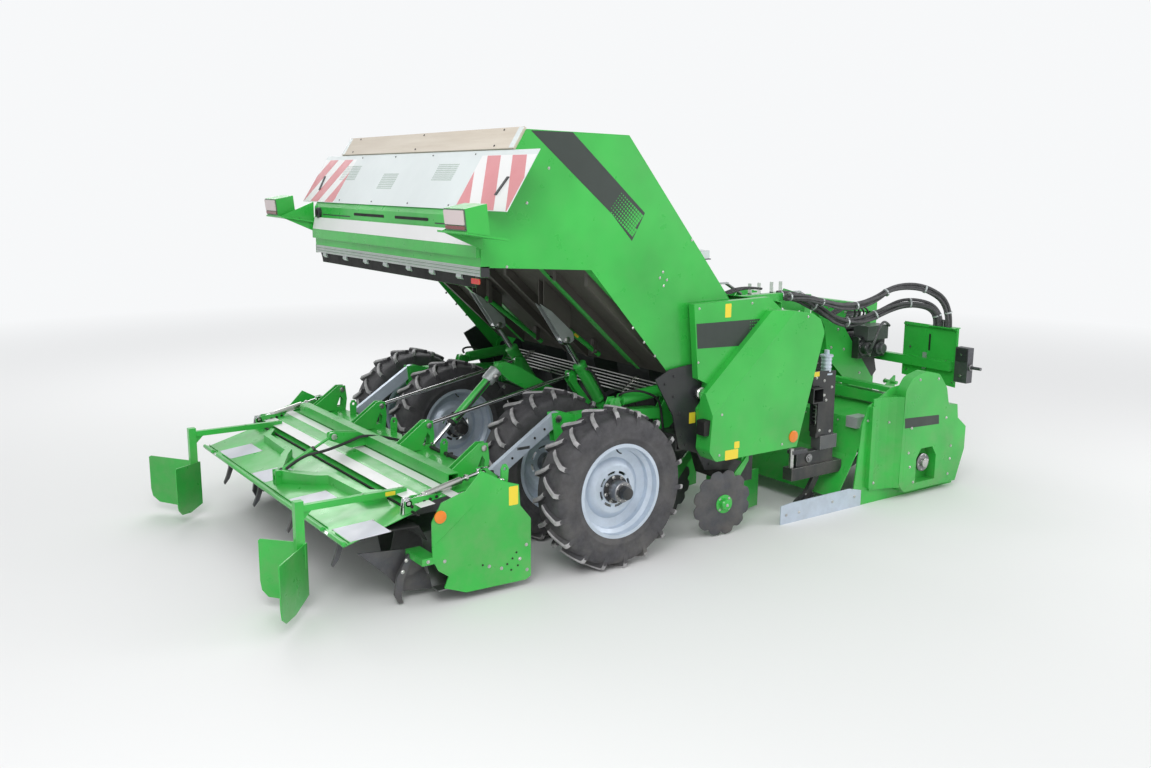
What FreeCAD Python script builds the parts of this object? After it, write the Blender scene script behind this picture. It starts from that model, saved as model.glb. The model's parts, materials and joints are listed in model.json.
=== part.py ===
"""Four-row potato planter behind a powered soil tiller.

Millimetres and degrees.  +X runs forward to the tractor, +Y to the left and +Z up.  The outlines
below are measured from the wheel axle on the ground; axle_x then sets the whole machine so that
its origin is the middle of its footprint.
"""
import FreeCAD, Part
import math
import os
import Sketcher

Vector = FreeCAD.Vector
doc = FreeCAD.newDocument("PotatoPlanter")

SIZES = [
    # alias, value, what it is
    ("axle_x", -935, "wheel axle, from the middle of the machine's length"),
    ("row_pitch", 750, "distance between two potato rows"),
    ("fit", 0.05, "radial play of a running fit"),
    ("seat", 0.3, "play between two parts that sit together"),
    ("side_play", 3, "play beside a moving eye or arm"),
    ("plate", 10, "common steel plate"),
    ("thin", 6, "hopper and hood sheet"),
    # wheels
    ("tyre_radius", 552.5, "tyre to the lug tips"),
    ("tyre_width", 284, "tyre section width"),
    ("tread_half", 128, "half of the tread's flat part"),
    ("lug_height", 30, "tread lug"),
    ("lug_width", 36, "tread lug across its run"),
    ("lug_slant", 88, "how far a lug runs back from shoulder to middle"),
    ("lug_overlap", 10, "lug past the middle of the tread"),
    ("tyre_bead", 312, "tyre bead radius"),
    ("rim_flange", 327, "rim flange radius"),
    ("rim_well", 276, "rim well radius"),
    ("rim_half", 122, "half of the rim's width"),
    ("rim_skin", 9, "rim metal"),
    ("dish_depth", 62, "wheel disc behind the outer rim edge"),
    ("hub_radius", 72, "wheel hub"),
    ("hub_reach", 210, "hub beyond the wheel's middle"),
    ("spindle_radius", 30, "axle spindle in the hub"),
    ("spindle_reach", 120, "spindle beyond the wheel's middle"),
    ("axle_radius", 52, "axle tube between two wheels"),
    # wheel carriers
    ("carrier_width", 100, "swing arm box across"),
    ("carrier_depth", 130, "swing arm leg, front to back"),
    ("carrier_top", 945, "swing arm's lower line above the wheels"),
    ("carrier_eye_x", 860, "lower eye on the frame"),
    ("carrier_eye_z", 925, "lower eye height"),
    ("depth_eye_x", 800, "depth cylinder eye on the frame"),
    ("depth_eye_z", 1090, "depth cylinder eye height"),
    ("depth_radius", 45, "depth cylinder"),
    ("depth_foot_x", 300, "depth cylinder foot on the swing arm"),
    ("depth_foot_z", 1050, "depth cylinder foot height"),
    ("depth_eye_width", 44, "carrier eyes across"),
    ("eye_pin", 18, "carrier eye pins"),
    ("eye_stem", 165, "swing arm's end to its eye"),
    ("eye_boss", 40, "boss around an eye"),
    # frame
    ("frame_gap", 19, "hopper side to frame plate"),
    ("frame_plate", 12, "side plate"),
    ("beam", 120, "main square tube"),
    ("beam_wall", 10, "main tube wall"),
    ("front_beam_x", 1470, "front cross tube"),
    ("front_beam_z", 1010, "front cross tube height"),
    ("rear_beam_x", 740, "rear cross tube"),
    ("rear_beam_z", 740, "rear cross tube height"),
    ("tool_beam_x", 2030, "toolbar in front of the covers"),
    ("tool_beam_z", 960, "toolbar height"),
    ("tool_half", 1500, "toolbar half length"),
    ("rail_size", 90, "lengthwise tube"),
    # hopper
    ("hopper_half", 1360, "outer face of the hopper's sides"),
    ("pivot_x", 860, "hopper hinge"),
    ("pivot_z", 1100, "hopper hinge height"),
    ("pivot_pin", 30, "hopper hinge pin"),
    ("floor_front_x", 870, "front edge of the hopper floor"),
    ("floor_front_z", 1185, "front edge of the hopper floor"),
    ("floor_bend_x", -70, "bend of the hopper floor"),
    ("floor_bend_z", 2040, "bend of the hopper floor"),
    ("rear_foot_x", -910, "foot of the rear wall"),
    ("rear_foot_z", 2080, "foot of the rear wall"),
    ("rear_upright", 300, "upright part of the rear wall"),
    ("apex_x", -570, "rear top corner"),
    ("rear_slope", 535, "height of the rear wall's sloping part"),
    ("crown_x", 230, "front top corner"),
    ("crown_drop", 15, "front top corner below the rear one"),
    ("nose_x", 1250, "lower end of the sloping front edge"),
    ("nose_z", 1670, "lower end of the sloping front edge"),
    ("board_thick", 18, "board on the rear edge"),
    ("board_reach", 150, "board down the rear wall"),
    ("panel_half", 1650, "hazard panel half width"),
    ("panel_thick", 4, "hazard panel sheet"),
    ("lamp_inset", 90, "lamp box middle from the panel's end"),
    ("tail_beam", 60, "tube under the rear wall"),
    # covers
    ("tray_depth", 59, "depth of the covers' upper part"),
    ("cover_depth", 150, "lower part of the covers, beyond the upper"),
    # hopper cylinders
    ("ram_y", 500, "hopper cylinder"),
    ("ram_foot_x", 670, "cylinder foot pin"),
    ("ram_foot_z", 870, "cylinder foot pin"),
    ("ram_head_x", 300, "cylinder head pin"),
    ("ram_head_z", 1420, "cylinder head pin"),
    ("ram_radius", 50, "cylinder barrel"),
    ("ram_rod", 22, "cylinder rod"),
    ("ram_barrel", 400, "barrel from foot pin to gland"),
    ("ram_pin", 16, "cylinder pins"),
    ("ram_eye", 42, "cylinder eye"),
    ("ram_drift", 8, "play of the rod eye about its pin"),
    ("ram_eye_width", 50, "cylinder eye across"),
    # planting units
    ("unit_half", 210, "half of a cup belt housing"),
    ("unit_foot", 330, "bottom of the cup belt housing"),
    ("grille_rod", 7, "grille rod"),
    ("grille_half", 1040, "grille half width"),
    # hitch
    ("hitch_x", 4130, "lower hitch pins"),
    ("hitch_z", 700, "lower hitch pins"),
    ("hitch_y", 520, "lower hitch pins"),
    ("hitch_pin", 18.2, "lower hitch pins"),
    ("pto_radius", 17.5, "drive shaft stub"),
    # tiller
    ("tiller_half", 1555, "outer face of the tiller's side plates"),
    ("tiller_case", 95, "drive case outside the side plate"),
    ("rotor_x", 3220, "tiller rotor"),
    ("rotor_z", 275, "tiller rotor height"),
    ("rotor_reach", 262, "tine tip from the rotor's middle"),
    ("rotor_tube", 65, "rotor tube"),
    ("rotor_journal", 30, "rotor stub shaft"),
    ("hood_gap", 45, "hood around the tine tips"),
    # discs
    ("disc_radius", 250, "closing disc"),
    ("disc_x", 1050, "closing disc middle"),
    ("disc_z", 256, "closing disc middle"),
    ("disc_proud", 94, "outer disc beyond the frame plate"),
    ("disc_reach", 250, "disc from the middle of its row"),
    ("disc_thick", 6, "closing disc"),
    ("disc_toe", 8, "closing disc toe angle"),
    ("disc_dish", 24, "depth of a disc's dish"),
    ("disc_bar", 50, "tube that carries the inner discs"),
    ("disc_bar_z", 640, "disc tube height"),
    ("disc_hub", 42, "disc hub"),
    ("disc_pin", 15, "disc hub pin"),
    # ridger
    ("ridger_half", 1535, "outer face of the ridger's sides"),
    ("arm_y", 1125, "lift arm"),
    ("arm_head_x", -200, "lift arm's front pin"),
    ("arm_head_z", 990, "lift arm's front pin"),
    ("arm_tail_x", -735, "lift arm's rear pin"),
    ("arm_tail_z", 645, "lift arm's rear pin"),
    ("arm_pin", 16, "lift arm pins"),
    ("arm_width", 40, "lift arm across"),
    ("arm_depth", 90, "lift arm's depth"),
    ("link_y", 400, "top link"),
    ("spare_y", 1180, "outer link brackets of the ridger"),
    ("link_tail_x", -820, "top link's rear pin"),
    ("link_tail_z", 880, "top link's rear pin"),
    ("link_head_x", 430, "top link's front pin"),
    ("link_head_z", 1120, "top link's front pin"),
    ("link_radius", 14, "top link rod"),
    ("link_pin", 12, "top link pins"),
    ("link_drift", 3, "play of the top link's rear eye"),
    ("link_width", 36, "top link eye across"),
    ("lift_y", 300, "lift cylinder, right of the middle"),
    ("lift_tail_x", -745, "lift cylinder's rear pin"),
    ("lift_tail_z", 678, "lift cylinder's rear pin"),
    ("lift_head_x", -150, "lift cylinder's front pin"),
    ("lift_head_z", 1228, "lift cylinder's front pin"),
    ("lift_radius", 34, "lift cylinder barrel"),
    ("lift_rod", 15, "lift cylinder rod"),
    ("lift_barrel", 570, "lift barrel from head pin to gland"),
    ("lift_drift", 3, "play of the lift rod eye"),
    ("lift_pin", 14, "lift cylinder pins"),
    ("lift_eye", 32, "lift cylinder eyes"),
    ("lift_width", 40, "lift cylinder eyes across"),
    ("ridger_beam", 80, "ridger square tube"),
    ("ridger_front_x", -830, "ridger front tube"),
    ("ridger_front_top", 700, "top of the ridger's front tube"),
    ("ridger_rear_x", -1090, "ridger rear tube"),
    ("rail_edge", 14, "rolled edge of the rear flap"),
    ("press_x", -1784, "tip of the press frame"),
    ("press_z", 576, "tip of the press frame"),
    ("post_x", -1375, "upper eye of the press cylinder"),
    ("post_z", 790, "upper eye of the press cylinder"),
    ("press_radius", 17, "press cylinder"),
    ("screw_radius", 13, "turnbuckle rods"),
    ("tine_thick", 24, "spring tines"),
    ("marker_y", 1137, "track marker arm"),
    ("marker_width", 40, "track marker arm"),
    # looseners and hitch shields
    ("loosener_y", 1400, "track loosener"),
    ("loosener_gap", 64, "gap between the loosener's plates"),
    ("shield_x", 3900, "hitch shield"),
    ("shield_y", 820, "inner edge of the hitch shield"),
    ("shield_end", 1400, "outer edge of the hitch shield"),
    ("hose_radius", 45, "bundle of hydraulic hoses"),
    ("hose_y", 850, "bundle of hydraulic hoses"),
    ("hose_start", 2230, "end of the arm that carries the hoses"),
    ("wall_x", 1700, "front wall of the planter"),
    ("wall_top", 1700, "top of the front wall"),
]


class Dim:
    """A length or angle with the expression that ties it to the sheet."""

    def __init__(self, value, text=None):
        self.value = float(value)
        self.text = text
        self.bound = text is not None
        if text is None:
            self.text = f"({self.value:.6g})"

    def join(self, other, sign, value):
        made = Dim(value, f"({self.text} {sign} {other.text})")
        made.bound = self.bound or other.bound
        return made

    def __add__(self, other):
        other = dim(other)
        return self.join(other, "+", self.value + other.value)

    def __sub__(self, other):
        other = dim(other)
        return self.join(other, "-", self.value - other.value)

    def __mul__(self, other):
        other = dim(other)
        return self.join(other, "*", self.value * other.value)

    def __truediv__(self, other):
        other = dim(other)
        return self.join(other, "/", self.value / other.value)

    def __radd__(self, other):
        return dim(other) + self

    def __rsub__(self, other):
        return dim(other) - self

    def __rmul__(self, other):
        return dim(other) * self

    def __neg__(self):
        return self * -1


def dim(value):
    """Any plain number as a Dim."""
    return value if isinstance(value, Dim) else Dim(value)


def call(name, value, *parts):
    """A Dim worked out by one of the sheet's functions."""
    made = Dim(value, f"{name}({'; '.join(part.text for part in parts)})")
    made.bound = any(part.bound for part in parts)
    return made


def sine(angle):
    angle = dim(angle)
    return call("sin", math.sin(math.radians(angle.value)), angle)


def cosine(angle):
    angle = dim(angle)
    return call("cos", math.cos(math.radians(angle.value)), angle)


def span(run, rise):
    """Length of a line with this run and rise."""
    run, rise = dim(run), dim(rise)
    return call("hypot", math.hypot(run.value, rise.value), run, rise)


def bearing(run, rise):
    """Angle whose tangent is run over rise."""
    run, rise = dim(run), dim(rise)
    return call("atan2", math.degrees(math.atan2(run.value, rise.value)), run, rise)


class Sizes:
    """The sheet's cells, each as a Dim of its alias."""


size = Sizes()
sheet = doc.addObject("Spreadsheet::Sheet", "Sizes")
for row, (alias, value, note) in enumerate(SIZES, start=1):
    sheet.set(f"A{row}", note)
    sheet.set(f"B{row}", str(value))
    sheet.setAlias(f"B{row}", alias)
    setattr(size, alias, Dim(value, f"Sizes.{alias}"))
doc.recompute()
size.frame_half = size.hopper_half + size.frame_gap + size.frame_plate
size.cover_face = size.frame_half + size.tray_depth
size.cover_proud = size.cover_face + size.cover_depth
size.rear_step_z = size.rear_foot_z + size.rear_upright
size.apex_z = size.rear_step_z + size.rear_slope
size.crown_z = size.apex_z - size.crown_drop
size.lamp_y = size.panel_half - size.lamp_inset


def bind(item, target, value):
    """Tie a property to the sheet, or set it where it is a plain number."""
    item.setExpression(target, dim(value).text)


def place(item, x=0, y=0, z=0, axis=None, angle=0):
    """Set an object by its base point and one turn about an axis."""
    if axis is not None:
        turn = dim(angle).value or 1.0
        item.Placement = FreeCAD.Placement(Vector(0, 0, 0), FreeCAD.Rotation(axis, turn))
        bind(item, "Placement.Rotation.Angle", angle)
    for name, value in (("x", x), ("y", y), ("z", z)):
        if dim(value).bound or dim(value).value:
            bind(item, f"Placement.Base.{name}", value)
    return item


AXIS_X = Vector(1, 0, 0)
AXIS_Y = Vector(0, 1, 0)
AXIS_Z = Vector(0, 0, 1)
PLANES = {"XY": ("XY_Plane", 1, AXIS_Z), "XZ": ("XZ_Plane", -1, AXIS_Y), "YZ": ("YZ_Plane", 1, AXIS_X)}


def tie_point(sketch, geometry, point, u, v):
    """Hold one sketch point at u, v from the sketch's origin."""
    for kind, value in (("DistanceX", u), ("DistanceY", v)):
        value = dim(value)
        index = sketch.addConstraint(Sketcher.Constraint(kind, -1, 1, geometry, point, value.value))
        if value.bound:
            sketch.setExpression(f"Constraints[{index}]", value.text)


def draw_outline(sketch, outline):
    """A closed chain of straight lines through the outline's points."""
    points = [Vector(dim(u).value, dim(v).value, 0) for u, v in outline]
    count = len(points)
    lines = [sketch.addGeometry(Part.LineSegment(points[i], points[(i + 1) % count]), False)
             for i in range(count)]
    for i in range(count):
        sketch.addConstraint(Sketcher.Constraint("Coincident", lines[i], 2, lines[(i + 1) % count], 1))
    for line, (u, v) in zip(lines, outline):
        tie_point(sketch, line, 1, u, v)


def draw_circle(sketch, u, v, radius):
    radius = dim(radius)
    middle = Vector(dim(u).value, dim(v).value, 0)
    circle = sketch.addGeometry(Part.Circle(middle, AXIS_Z, radius.value), False)
    tie_point(sketch, circle, 3, u, v)
    index = sketch.addConstraint(Sketcher.Constraint("Radius", circle, radius.value))
    if radius.bound:
        sketch.setExpression(f"Constraints[{index}]", radius.text)


def sketch_on(body, plane, level, outlines=(), circles=()):
    """A sketch on one of the body's own planes, lifted to a level along that plane's axis."""
    sketch = body.newObject("Sketcher::SketchObject", body.Name + "Sketch")
    role, side, _ = PLANES[plane]
    datum = next(item for item in body.Origin.OriginFeatures if item.Role == role)
    sketch.AttachmentSupport = [(datum, "")]
    sketch.MapMode = "FlatFace"
    bind(sketch, "AttachmentOffset.Base.z", dim(level) * side)
    for outline in outlines:
        draw_outline(sketch, outline)
    for u, v, radius in circles:
        draw_circle(sketch, u, v, radius)
    return sketch


def edges_at(feature, plane, corners):
    """Names of the straight edges that run along the plane's axis through the given corners."""
    pick = {"XY": ("x", "y"), "XZ": ("x", "z"), "YZ": ("y", "z")}[plane]
    names = []
    for number, edge in enumerate(feature.Shape.Edges, start=1):
        ends = [vertex.Point for vertex in edge.Vertexes]
        if len(ends) != 2:
            continue
        for corner in corners:
            wanted = [dim(value).value for value in corner]
            if all(abs(getattr(end, pick[0]) - wanted[0]) < 0.01 and
                   abs(getattr(end, pick[1]) - wanted[1]) < 0.01 for end in ends):
                names.append(f"Edge{number}")
    return names


def pad(name, outline, low, high, plane="XZ", circles=(), cuts=(), rounds=()):
    """A body padded from low to high along the plane's axis.

    circles and cuts are holes in it; rounds holds (radius, corner numbers) for rounded corners.
    """
    body = doc.addObject("PartDesign::Body", name)
    outlines = ([outline] if outline else []) + list(cuts)
    sketch = sketch_on(body, plane, (dim(low) + high) / 2, outlines, circles)
    made = body.newObject("PartDesign::Pad", name + "Pad")
    made.Profile = sketch
    made.Midplane = True
    bind(made, "Length", dim(high) - low)
    for number, (radius, corners) in enumerate(rounds):
        doc.recompute()
        base = made
        made = body.newObject("PartDesign::Fillet", f"{name}Round{number}")
        made.Base = (base, edges_at(base, plane, [outline[corner] for corner in corners]))
        bind(made, "Radius", radius)
    body.Tip = made
    return body


def revolve(name, outline):
    """A body turned about the Y axis from points of (y, radius)."""
    body = doc.addObject("PartDesign::Body", name)
    sketch = sketch_on(body, "YZ", 0, [outline])
    made = body.newObject("PartDesign::Revolution", name + "Turn")
    made.Profile = sketch
    made.ReferenceAxis = (sketch, ["H_Axis"])
    made.Angle = 360
    body.Tip = made
    return body


def box(name, x, y, z):
    """A box from its low and high x, y and z."""
    item = doc.addObject("Part::Box", name)
    for side, (low, high) in (("Length", x), ("Width", y), ("Height", z)):
        bind(item, side, dim(high) - low)
    return place(item, x[0], y[0], z[0])


def bar(name, start, end, y, depth, width):
    """A rectangular bar whose middle line runs between two points of a lengthwise plane."""
    run = dim(end[0]) - start[0]
    rise = dim(end[1]) - start[1]
    turn = -bearing(rise, run)
    item = doc.addObject("Part::Box", name)
    bind(item, "Length", span(run, rise))
    bind(item, "Width", width)
    bind(item, "Height", depth)
    half = dim(depth) / 2
    x = start[0] - half * sine(turn)
    z = start[1] - half * cosine(turn)
    return place(item, x, dim(y) - dim(width) / 2, z, AXIS_Y, turn)


def rod(name, radius, start, end, y):
    """A round rod between two points of a lengthwise plane."""
    run = dim(end[0]) - start[0]
    rise = dim(end[1]) - start[1]
    item = doc.addObject("Part::Cylinder", name)
    bind(item, "Radius", radius)
    bind(item, "Height", span(run, rise))
    return place(item, start[0], y, start[1], AXIS_Y, bearing(run, rise))


def shaft(name, radius, x, z, low, high):
    """A round bar along Y."""
    item = doc.addObject("Part::Cylinder", name)
    bind(item, "Radius", radius)
    bind(item, "Height", dim(high) - low)
    return place(item, x, low, z, AXIS_X, -90)


def ring(name, x, z, outer, inner, low, high):
    """A bush or eye along Y."""
    return pad(name, None, low, high, circles=[(x, z, outer), (x, z, inner)])


def tube(name, x, z, width, height, wall, low, high):
    """A rectangular tube along Y, open at its ends."""
    def frame(inset):
        half_x = dim(width) / 2 - inset
        half_z = dim(height) / 2 - inset
        return [(x - half_x, z - half_z), (x + half_x, z - half_z), (x + half_x, z + half_z),
                (x - half_x, z + half_z)]
    return pad(name, frame(0), low, high, cuts=[frame(wall)])


def faceted(name, sides, stations):
    """A solid of flat bands between regular polygons across Y, from points of (y, radius)."""
    rings = []
    for y, radius in stations:
        level = dim(y).value
        reach = dim(radius).value
        corners = [Vector(reach * math.cos(2 * math.pi * turn / sides), level,
                          reach * math.sin(2 * math.pi * turn / sides)) for turn in range(sides)]
        rings.append(corners + corners[:1])
    outlines = [rings[0], rings[-1]]
    for near, far in zip(rings, rings[1:]):
        for turn in range(sides):
            outlines.append([near[turn], near[turn + 1], far[turn + 1], far[turn], near[turn]])
    shell = Part.makeShell([Part.Face(Part.makePolygon(outline)) for outline in outlines])
    shell.sewShape()
    solid = Part.makeSolid(shell)
    if solid.Volume < 0:
        solid.reverse()
    item = doc.addObject("Part::Feature", name)
    item.Shape = solid
    return item


def fuse(name, *parts):
    if len(parts) == 1:
        return parts[0]
    item = doc.addObject("Part::MultiFuse", name)
    item.Shapes = list(parts)
    return item


def cut(name, base, tool):
    item = doc.addObject("Part::Cut", name)
    item.Base = base
    item.Tool = tool
    return item


def mirror(item, name=None):
    """The same piece on the other side of the machine."""
    made = doc.addObject("Part::Mirroring", name or item.Name + "Mirror")
    made.Source = item
    made.Normal = AXIS_Y
    return made


def copy(item, name, x=0, y=0, z=0, axis=None, angle=0):
    """One more of a piece at another place."""
    made = doc.addObject("Part::Compound", name)
    made.Links = [item]
    return place(made, x, y, z, axis, angle)


def along(start, end, distance):
    """The point at a distance from start towards end."""
    run = dim(end[0]) - start[0]
    rise = dim(end[1]) - start[1]
    share = dim(distance) / span(run, rise)
    return start[0] + run * share, start[1] + rise * share


NODES = []


def node(name, *pieces):
    """One sub-part of the machine, in the machine's frame."""
    made = doc.addObject("Part::Compound", name)
    made.Label = name
    made.Links = list(pieces)
    bind(made, "Placement.Base.x", size.axle_x)
    NODES.append(made)


ROWS = (-1.5, -0.5, 0.5, 1.5)
WHEEL_SIDES = 22
LUGS = 18
WHEELS = (("outer_right", -2, -1), ("inner_right", -1, 1), ("inner_left", 1, -1), ("outer_left", 2, 1))


# ---------------------------------------------------------------- wheels
def tyre_master():
    """A tractor tyre of flat bands between polygons, with slanted lugs across its tread."""
    half = size.tyre_width / 2
    tread = size.tyre_radius - size.lug_height
    right = [(-half + 24, size.tyre_bead + 4), (-half, size.tyre_radius * 0.8),
             (-size.tread_half, tread - 18)]
    stations = right + [(0, tread)] + [(-y, radius) for y, radius in reversed(right)]
    carcass = faceted("TyreCarcass", WHEEL_SIDES, stations)
    lug = tyre_lug()
    lugs = []
    step = 360 / LUGS
    for number in range(LUGS):
        lugs.append(copy(lug, f"LugRight{number}", axis=AXIS_Y, angle=step * number))
    other = mirror(lug, "LugLeftMaster")
    for number in range(LUGS):
        lugs.append(copy(other, f"LugLeft{number}", axis=AXIS_Y, angle=step * (number + 0.5)))
    bore = faceted("TyreBore", WHEEL_SIDES, [(-half, size.tyre_bead), (half, size.tyre_bead)])
    return cut("TyreMaster", fuse("TyreTread", carcass, *lugs), bore)


def tyre_lug():
    """One lug from the shoulder to just past the middle of the tread, on top of the tyre."""
    outer = -size.tyre_width / 2 + 2
    half = size.lug_width / 2
    slant = size.lug_slant / 2
    top = size.tyre_radius * cosine(bearing(slant + half, size.tyre_radius))
    outline = [(-slant - half, outer), (-slant + half, outer), (slant + half, size.lug_overlap),
               (slant - half / 2, size.lug_overlap)]
    return pad("TyreLug", outline, top - size.lug_height - 40, top, "XY")


def rim_master():
    """Rim, dished disc and hub, its outer side towards -Y."""
    edge = size.rim_half
    seat = size.tyre_bead - size.seat
    face = -edge + size.dish_depth
    well = size.rim_well
    outside = faceted("RimOutside", WHEEL_SIDES, [
        (-edge - 8, size.rim_flange), (-edge, size.rim_flange), (-edge + 4, seat), (-edge + 34, seat),
        (-edge + 52, well + size.rim_skin), (edge - 52, well + size.rim_skin), (edge - 34, seat),
        (edge - 4, seat),
        (edge, size.rim_flange), (edge + 8, size.rim_flange)])
    outboard = faceted("RimOutboard", WHEEL_SIDES, [
        (-edge - 9, seat - size.rim_skin), (-edge + 38, seat - size.rim_skin), (-edge + 56, well),
        (face + 30, well),
        (face + 42, well - 62), (face, size.hub_radius + 90)])
    inboard = faceted("RimInboard", WHEEL_SIDES, [
        (face + 14, size.hub_radius + 84), (face + 56, well - 64), (face + 44, well), (edge - 56, well),
        (edge - 38, seat - size.rim_skin), (edge + 9, seat - size.rim_skin)])
    hub = revolve("RimHub", [
        (face + 70, 0), (face + 70, size.hub_radius), (-size.hub_reach + 50, size.hub_radius),
        (-size.hub_reach + 44, 46), (-size.hub_reach, 42), (-size.hub_reach, 0)])
    bore = shaft("HubBore", size.spindle_radius + size.fit, 0, 0, -size.spindle_reach - 4, face + 80)
    dished = cut("RimDished", cut("RimOpened", outside, outboard), inboard)
    return cut("RimMaster", fuse("RimWithHub", cut("RimSlotted", dished, rim_slots(face)), hub), bore)


def rim_slots(face):
    """Eight hand holes through the flat part of the dish."""
    reach = size.hub_radius + 46
    slot = pad("HandHole", [(-30, reach - 9), (30, reach - 9), (30, reach + 9), (-30, reach + 9)],
               face - 10, face + 60)
    return fuse("HandHoles", *[copy(slot, f"HandHole{number}", axis=AXIS_Y,
                                    angle=45 * number) for number in range(8)])


def wheels():
    tyre = tyre_master()
    rim = rim_master()
    for name, pitch, outward in WHEELS:
        y = size.row_pitch * pitch
        node(f"tyre_{name}", copy(tyre, f"Tyre_{name}", 0, y, size.tyre_radius))
        turned = rim if outward < 0 else mirror(rim, f"RimTurned_{name}")
        node(f"rim_{name}", copy(turned, f"Rim_{name}", 0, y, size.tyre_radius))


# ---------------------------------------------------------------- wheel carriers
def pair(name, outline, y, gap, thickness, cuts=()):
    """Two like plates, one each side of y, with the gap between them."""
    near = gap / 2
    far = near + thickness
    return [pad(f"{name}A", outline, y - far, y - near, cuts=cuts),
            pad(f"{name}B", outline, y + near, y + far, cuts=cuts)]


def pin_through(name, radius, point, y, gap, thickness):
    """A pin across two plates, a little proud of both."""
    reach = gap / 2 + thickness + 8
    return shaft(name, radius, point[0], point[1], y - reach, y + reach)


def pin_caps(name, point, y, width):
    """The two heads of a fixed pin, on the outer faces of what it holds."""
    half = width / 2
    return [shaft(f"{name}A", size.eye_pin, *point, y - half - 8, y - half),
            shaft(f"{name}B", size.eye_pin, *point, y + half, y + half + 8)]


def wheel_carrier():
    """Right-hand swing arm between two wheels, with its axle and the fork for the lift arm."""
    y = -1.5 * size.row_pitch
    axle_z = size.tyre_radius
    reach = size.row_pitch / 2
    half = size.carrier_width / 2
    leg = size.carrier_depth / 2
    eye = (size.carrier_eye_x, size.carrier_eye_z)
    top = size.carrier_top
    arm_end = eye[0] - size.eye_stem
    spindle = shaft("Spindle", size.spindle_radius, 0, axle_z, y - reach - size.spindle_reach,
                    y + reach + size.spindle_reach)
    axle = shaft("AxleTube", size.axle_radius, 0, axle_z, y - reach + size.rim_half,
                 y + reach - size.rim_half)
    arm_outline = [(-leg, axle_z - 60), (leg, axle_z - 60), (leg, top - 20), (leg + 80, top - 10),
                   (arm_end, eye[1] - 40), (arm_end, eye[1] + 40), (leg + 60, top + 60), (-leg, top + 60)]
    arm = pad("SwingArm", arm_outline, y - half, y + half, rounds=[(30, [0, 1])])
    head = (size.arm_head_x, size.arm_head_z)
    fork_outline = [(head[0] - 45, head[1] + 40), (head[0] + 40, head[1] + 42), (-leg, top + 55),
                    (-leg, top - 140),
                    (head[0] - 20, top - 120)]
    gap = size.arm_width + size.side_play * 2
    forks = pair("LiftFork", fork_outline, y, gap, size.plate)
    pin = pin_through("LiftForkPin", size.arm_pin, head, y, gap, size.plate)
    foot = (size.depth_foot_x, size.depth_foot_z)
    lug_outline = [(foot[0] - 60, top + 52), (foot[0] + 60, top + 46), (foot[0] + 26, foot[1] + 30),
                   (foot[0] - 26, foot[1] + 30)]
    lugs = pair("DepthLug", lug_outline, y, size.depth_eye_width + size.seat * 2, size.plate)
    caps = pin_caps("DepthLugCap", foot, y, size.depth_eye_width + size.seat * 2 + size.plate * 2)
    return fuse("WheelCarrier", spindle, axle, arm, *forks, pin, *lugs, *caps)


def drilled(name, body, radius, points, y, width):
    """The body with a hole along Y at each point."""
    tools = [shaft(f"{name}Hole{number}", radius, *point, y - width, y + width)
             for number, point in enumerate(points)]
    return cut(name, body, fuse(f"{name}Holes", *tools))


def carrier_links():
    """Adjustable eye from the swing arm to the frame, and the depth cylinder above it."""
    y = -1.5 * size.row_pitch
    eye = (size.carrier_eye_x, size.carrier_eye_z)
    half = size.depth_eye_width / 2
    stem = rod("EyeStem", 16, (eye[0] - size.eye_stem, eye[1]), (eye[0] - 20, eye[1]), y)
    boss = shaft("EyeBoss", size.eye_boss, eye[0], eye[1], y - half, y + half)
    lower = fuse("CarrierEye", stem, boss)
    head = (size.depth_eye_x, size.depth_eye_z)
    foot = (size.depth_foot_x, size.depth_foot_z)
    barrel = rod("DepthBarrel", size.depth_radius, along(foot, head, 64), along(head, foot, 64), y)
    foot_boss = shaft("DepthFootBoss", size.depth_radius - 15, foot[0], foot[1], y - half, y + half)
    neck = rod("DepthNeck", size.eye_pin, along(foot, head, 20), along(head, foot, 20), y)
    head_boss = shaft("DepthHeadBoss", size.eye_boss, head[0], head[1], y - half, y + half)
    return lower, fuse("DepthRam", barrel, foot_boss, neck, head_boss)


def carrier_bracket():
    """Cheeks on the rear cross tube that hold the carrier eye and the depth cylinder."""
    y = -1.5 * size.row_pitch
    gap = size.depth_eye_width + size.seat * 2
    eye = (size.carrier_eye_x, size.carrier_eye_z)
    head = (size.depth_eye_x, size.depth_eye_z)
    foot = size.rear_beam_z + size.beam / 2
    outline = [(size.rear_beam_x - 40, foot), (size.rear_beam_x + 60, foot), (eye[0] + 50, eye[1] - 30),
               (eye[0] + 50, eye[1] + 30), (head[0] + 40, head[1] + 40), (head[0] - 40, head[1] + 40),
               (head[0] - 40, head[1] - 60), (size.rear_beam_x - 40, eye[1])]
    cheeks = pair("CarrierCheek", outline, y, gap, size.plate)
    caps = [cap for number, point in enumerate((eye, head))
            for cap in pin_caps(f"CarrierCap{number}", point, y, gap + size.plate * 2)]
    return fuse("CarrierBracket", *cheeks, *caps)


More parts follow.
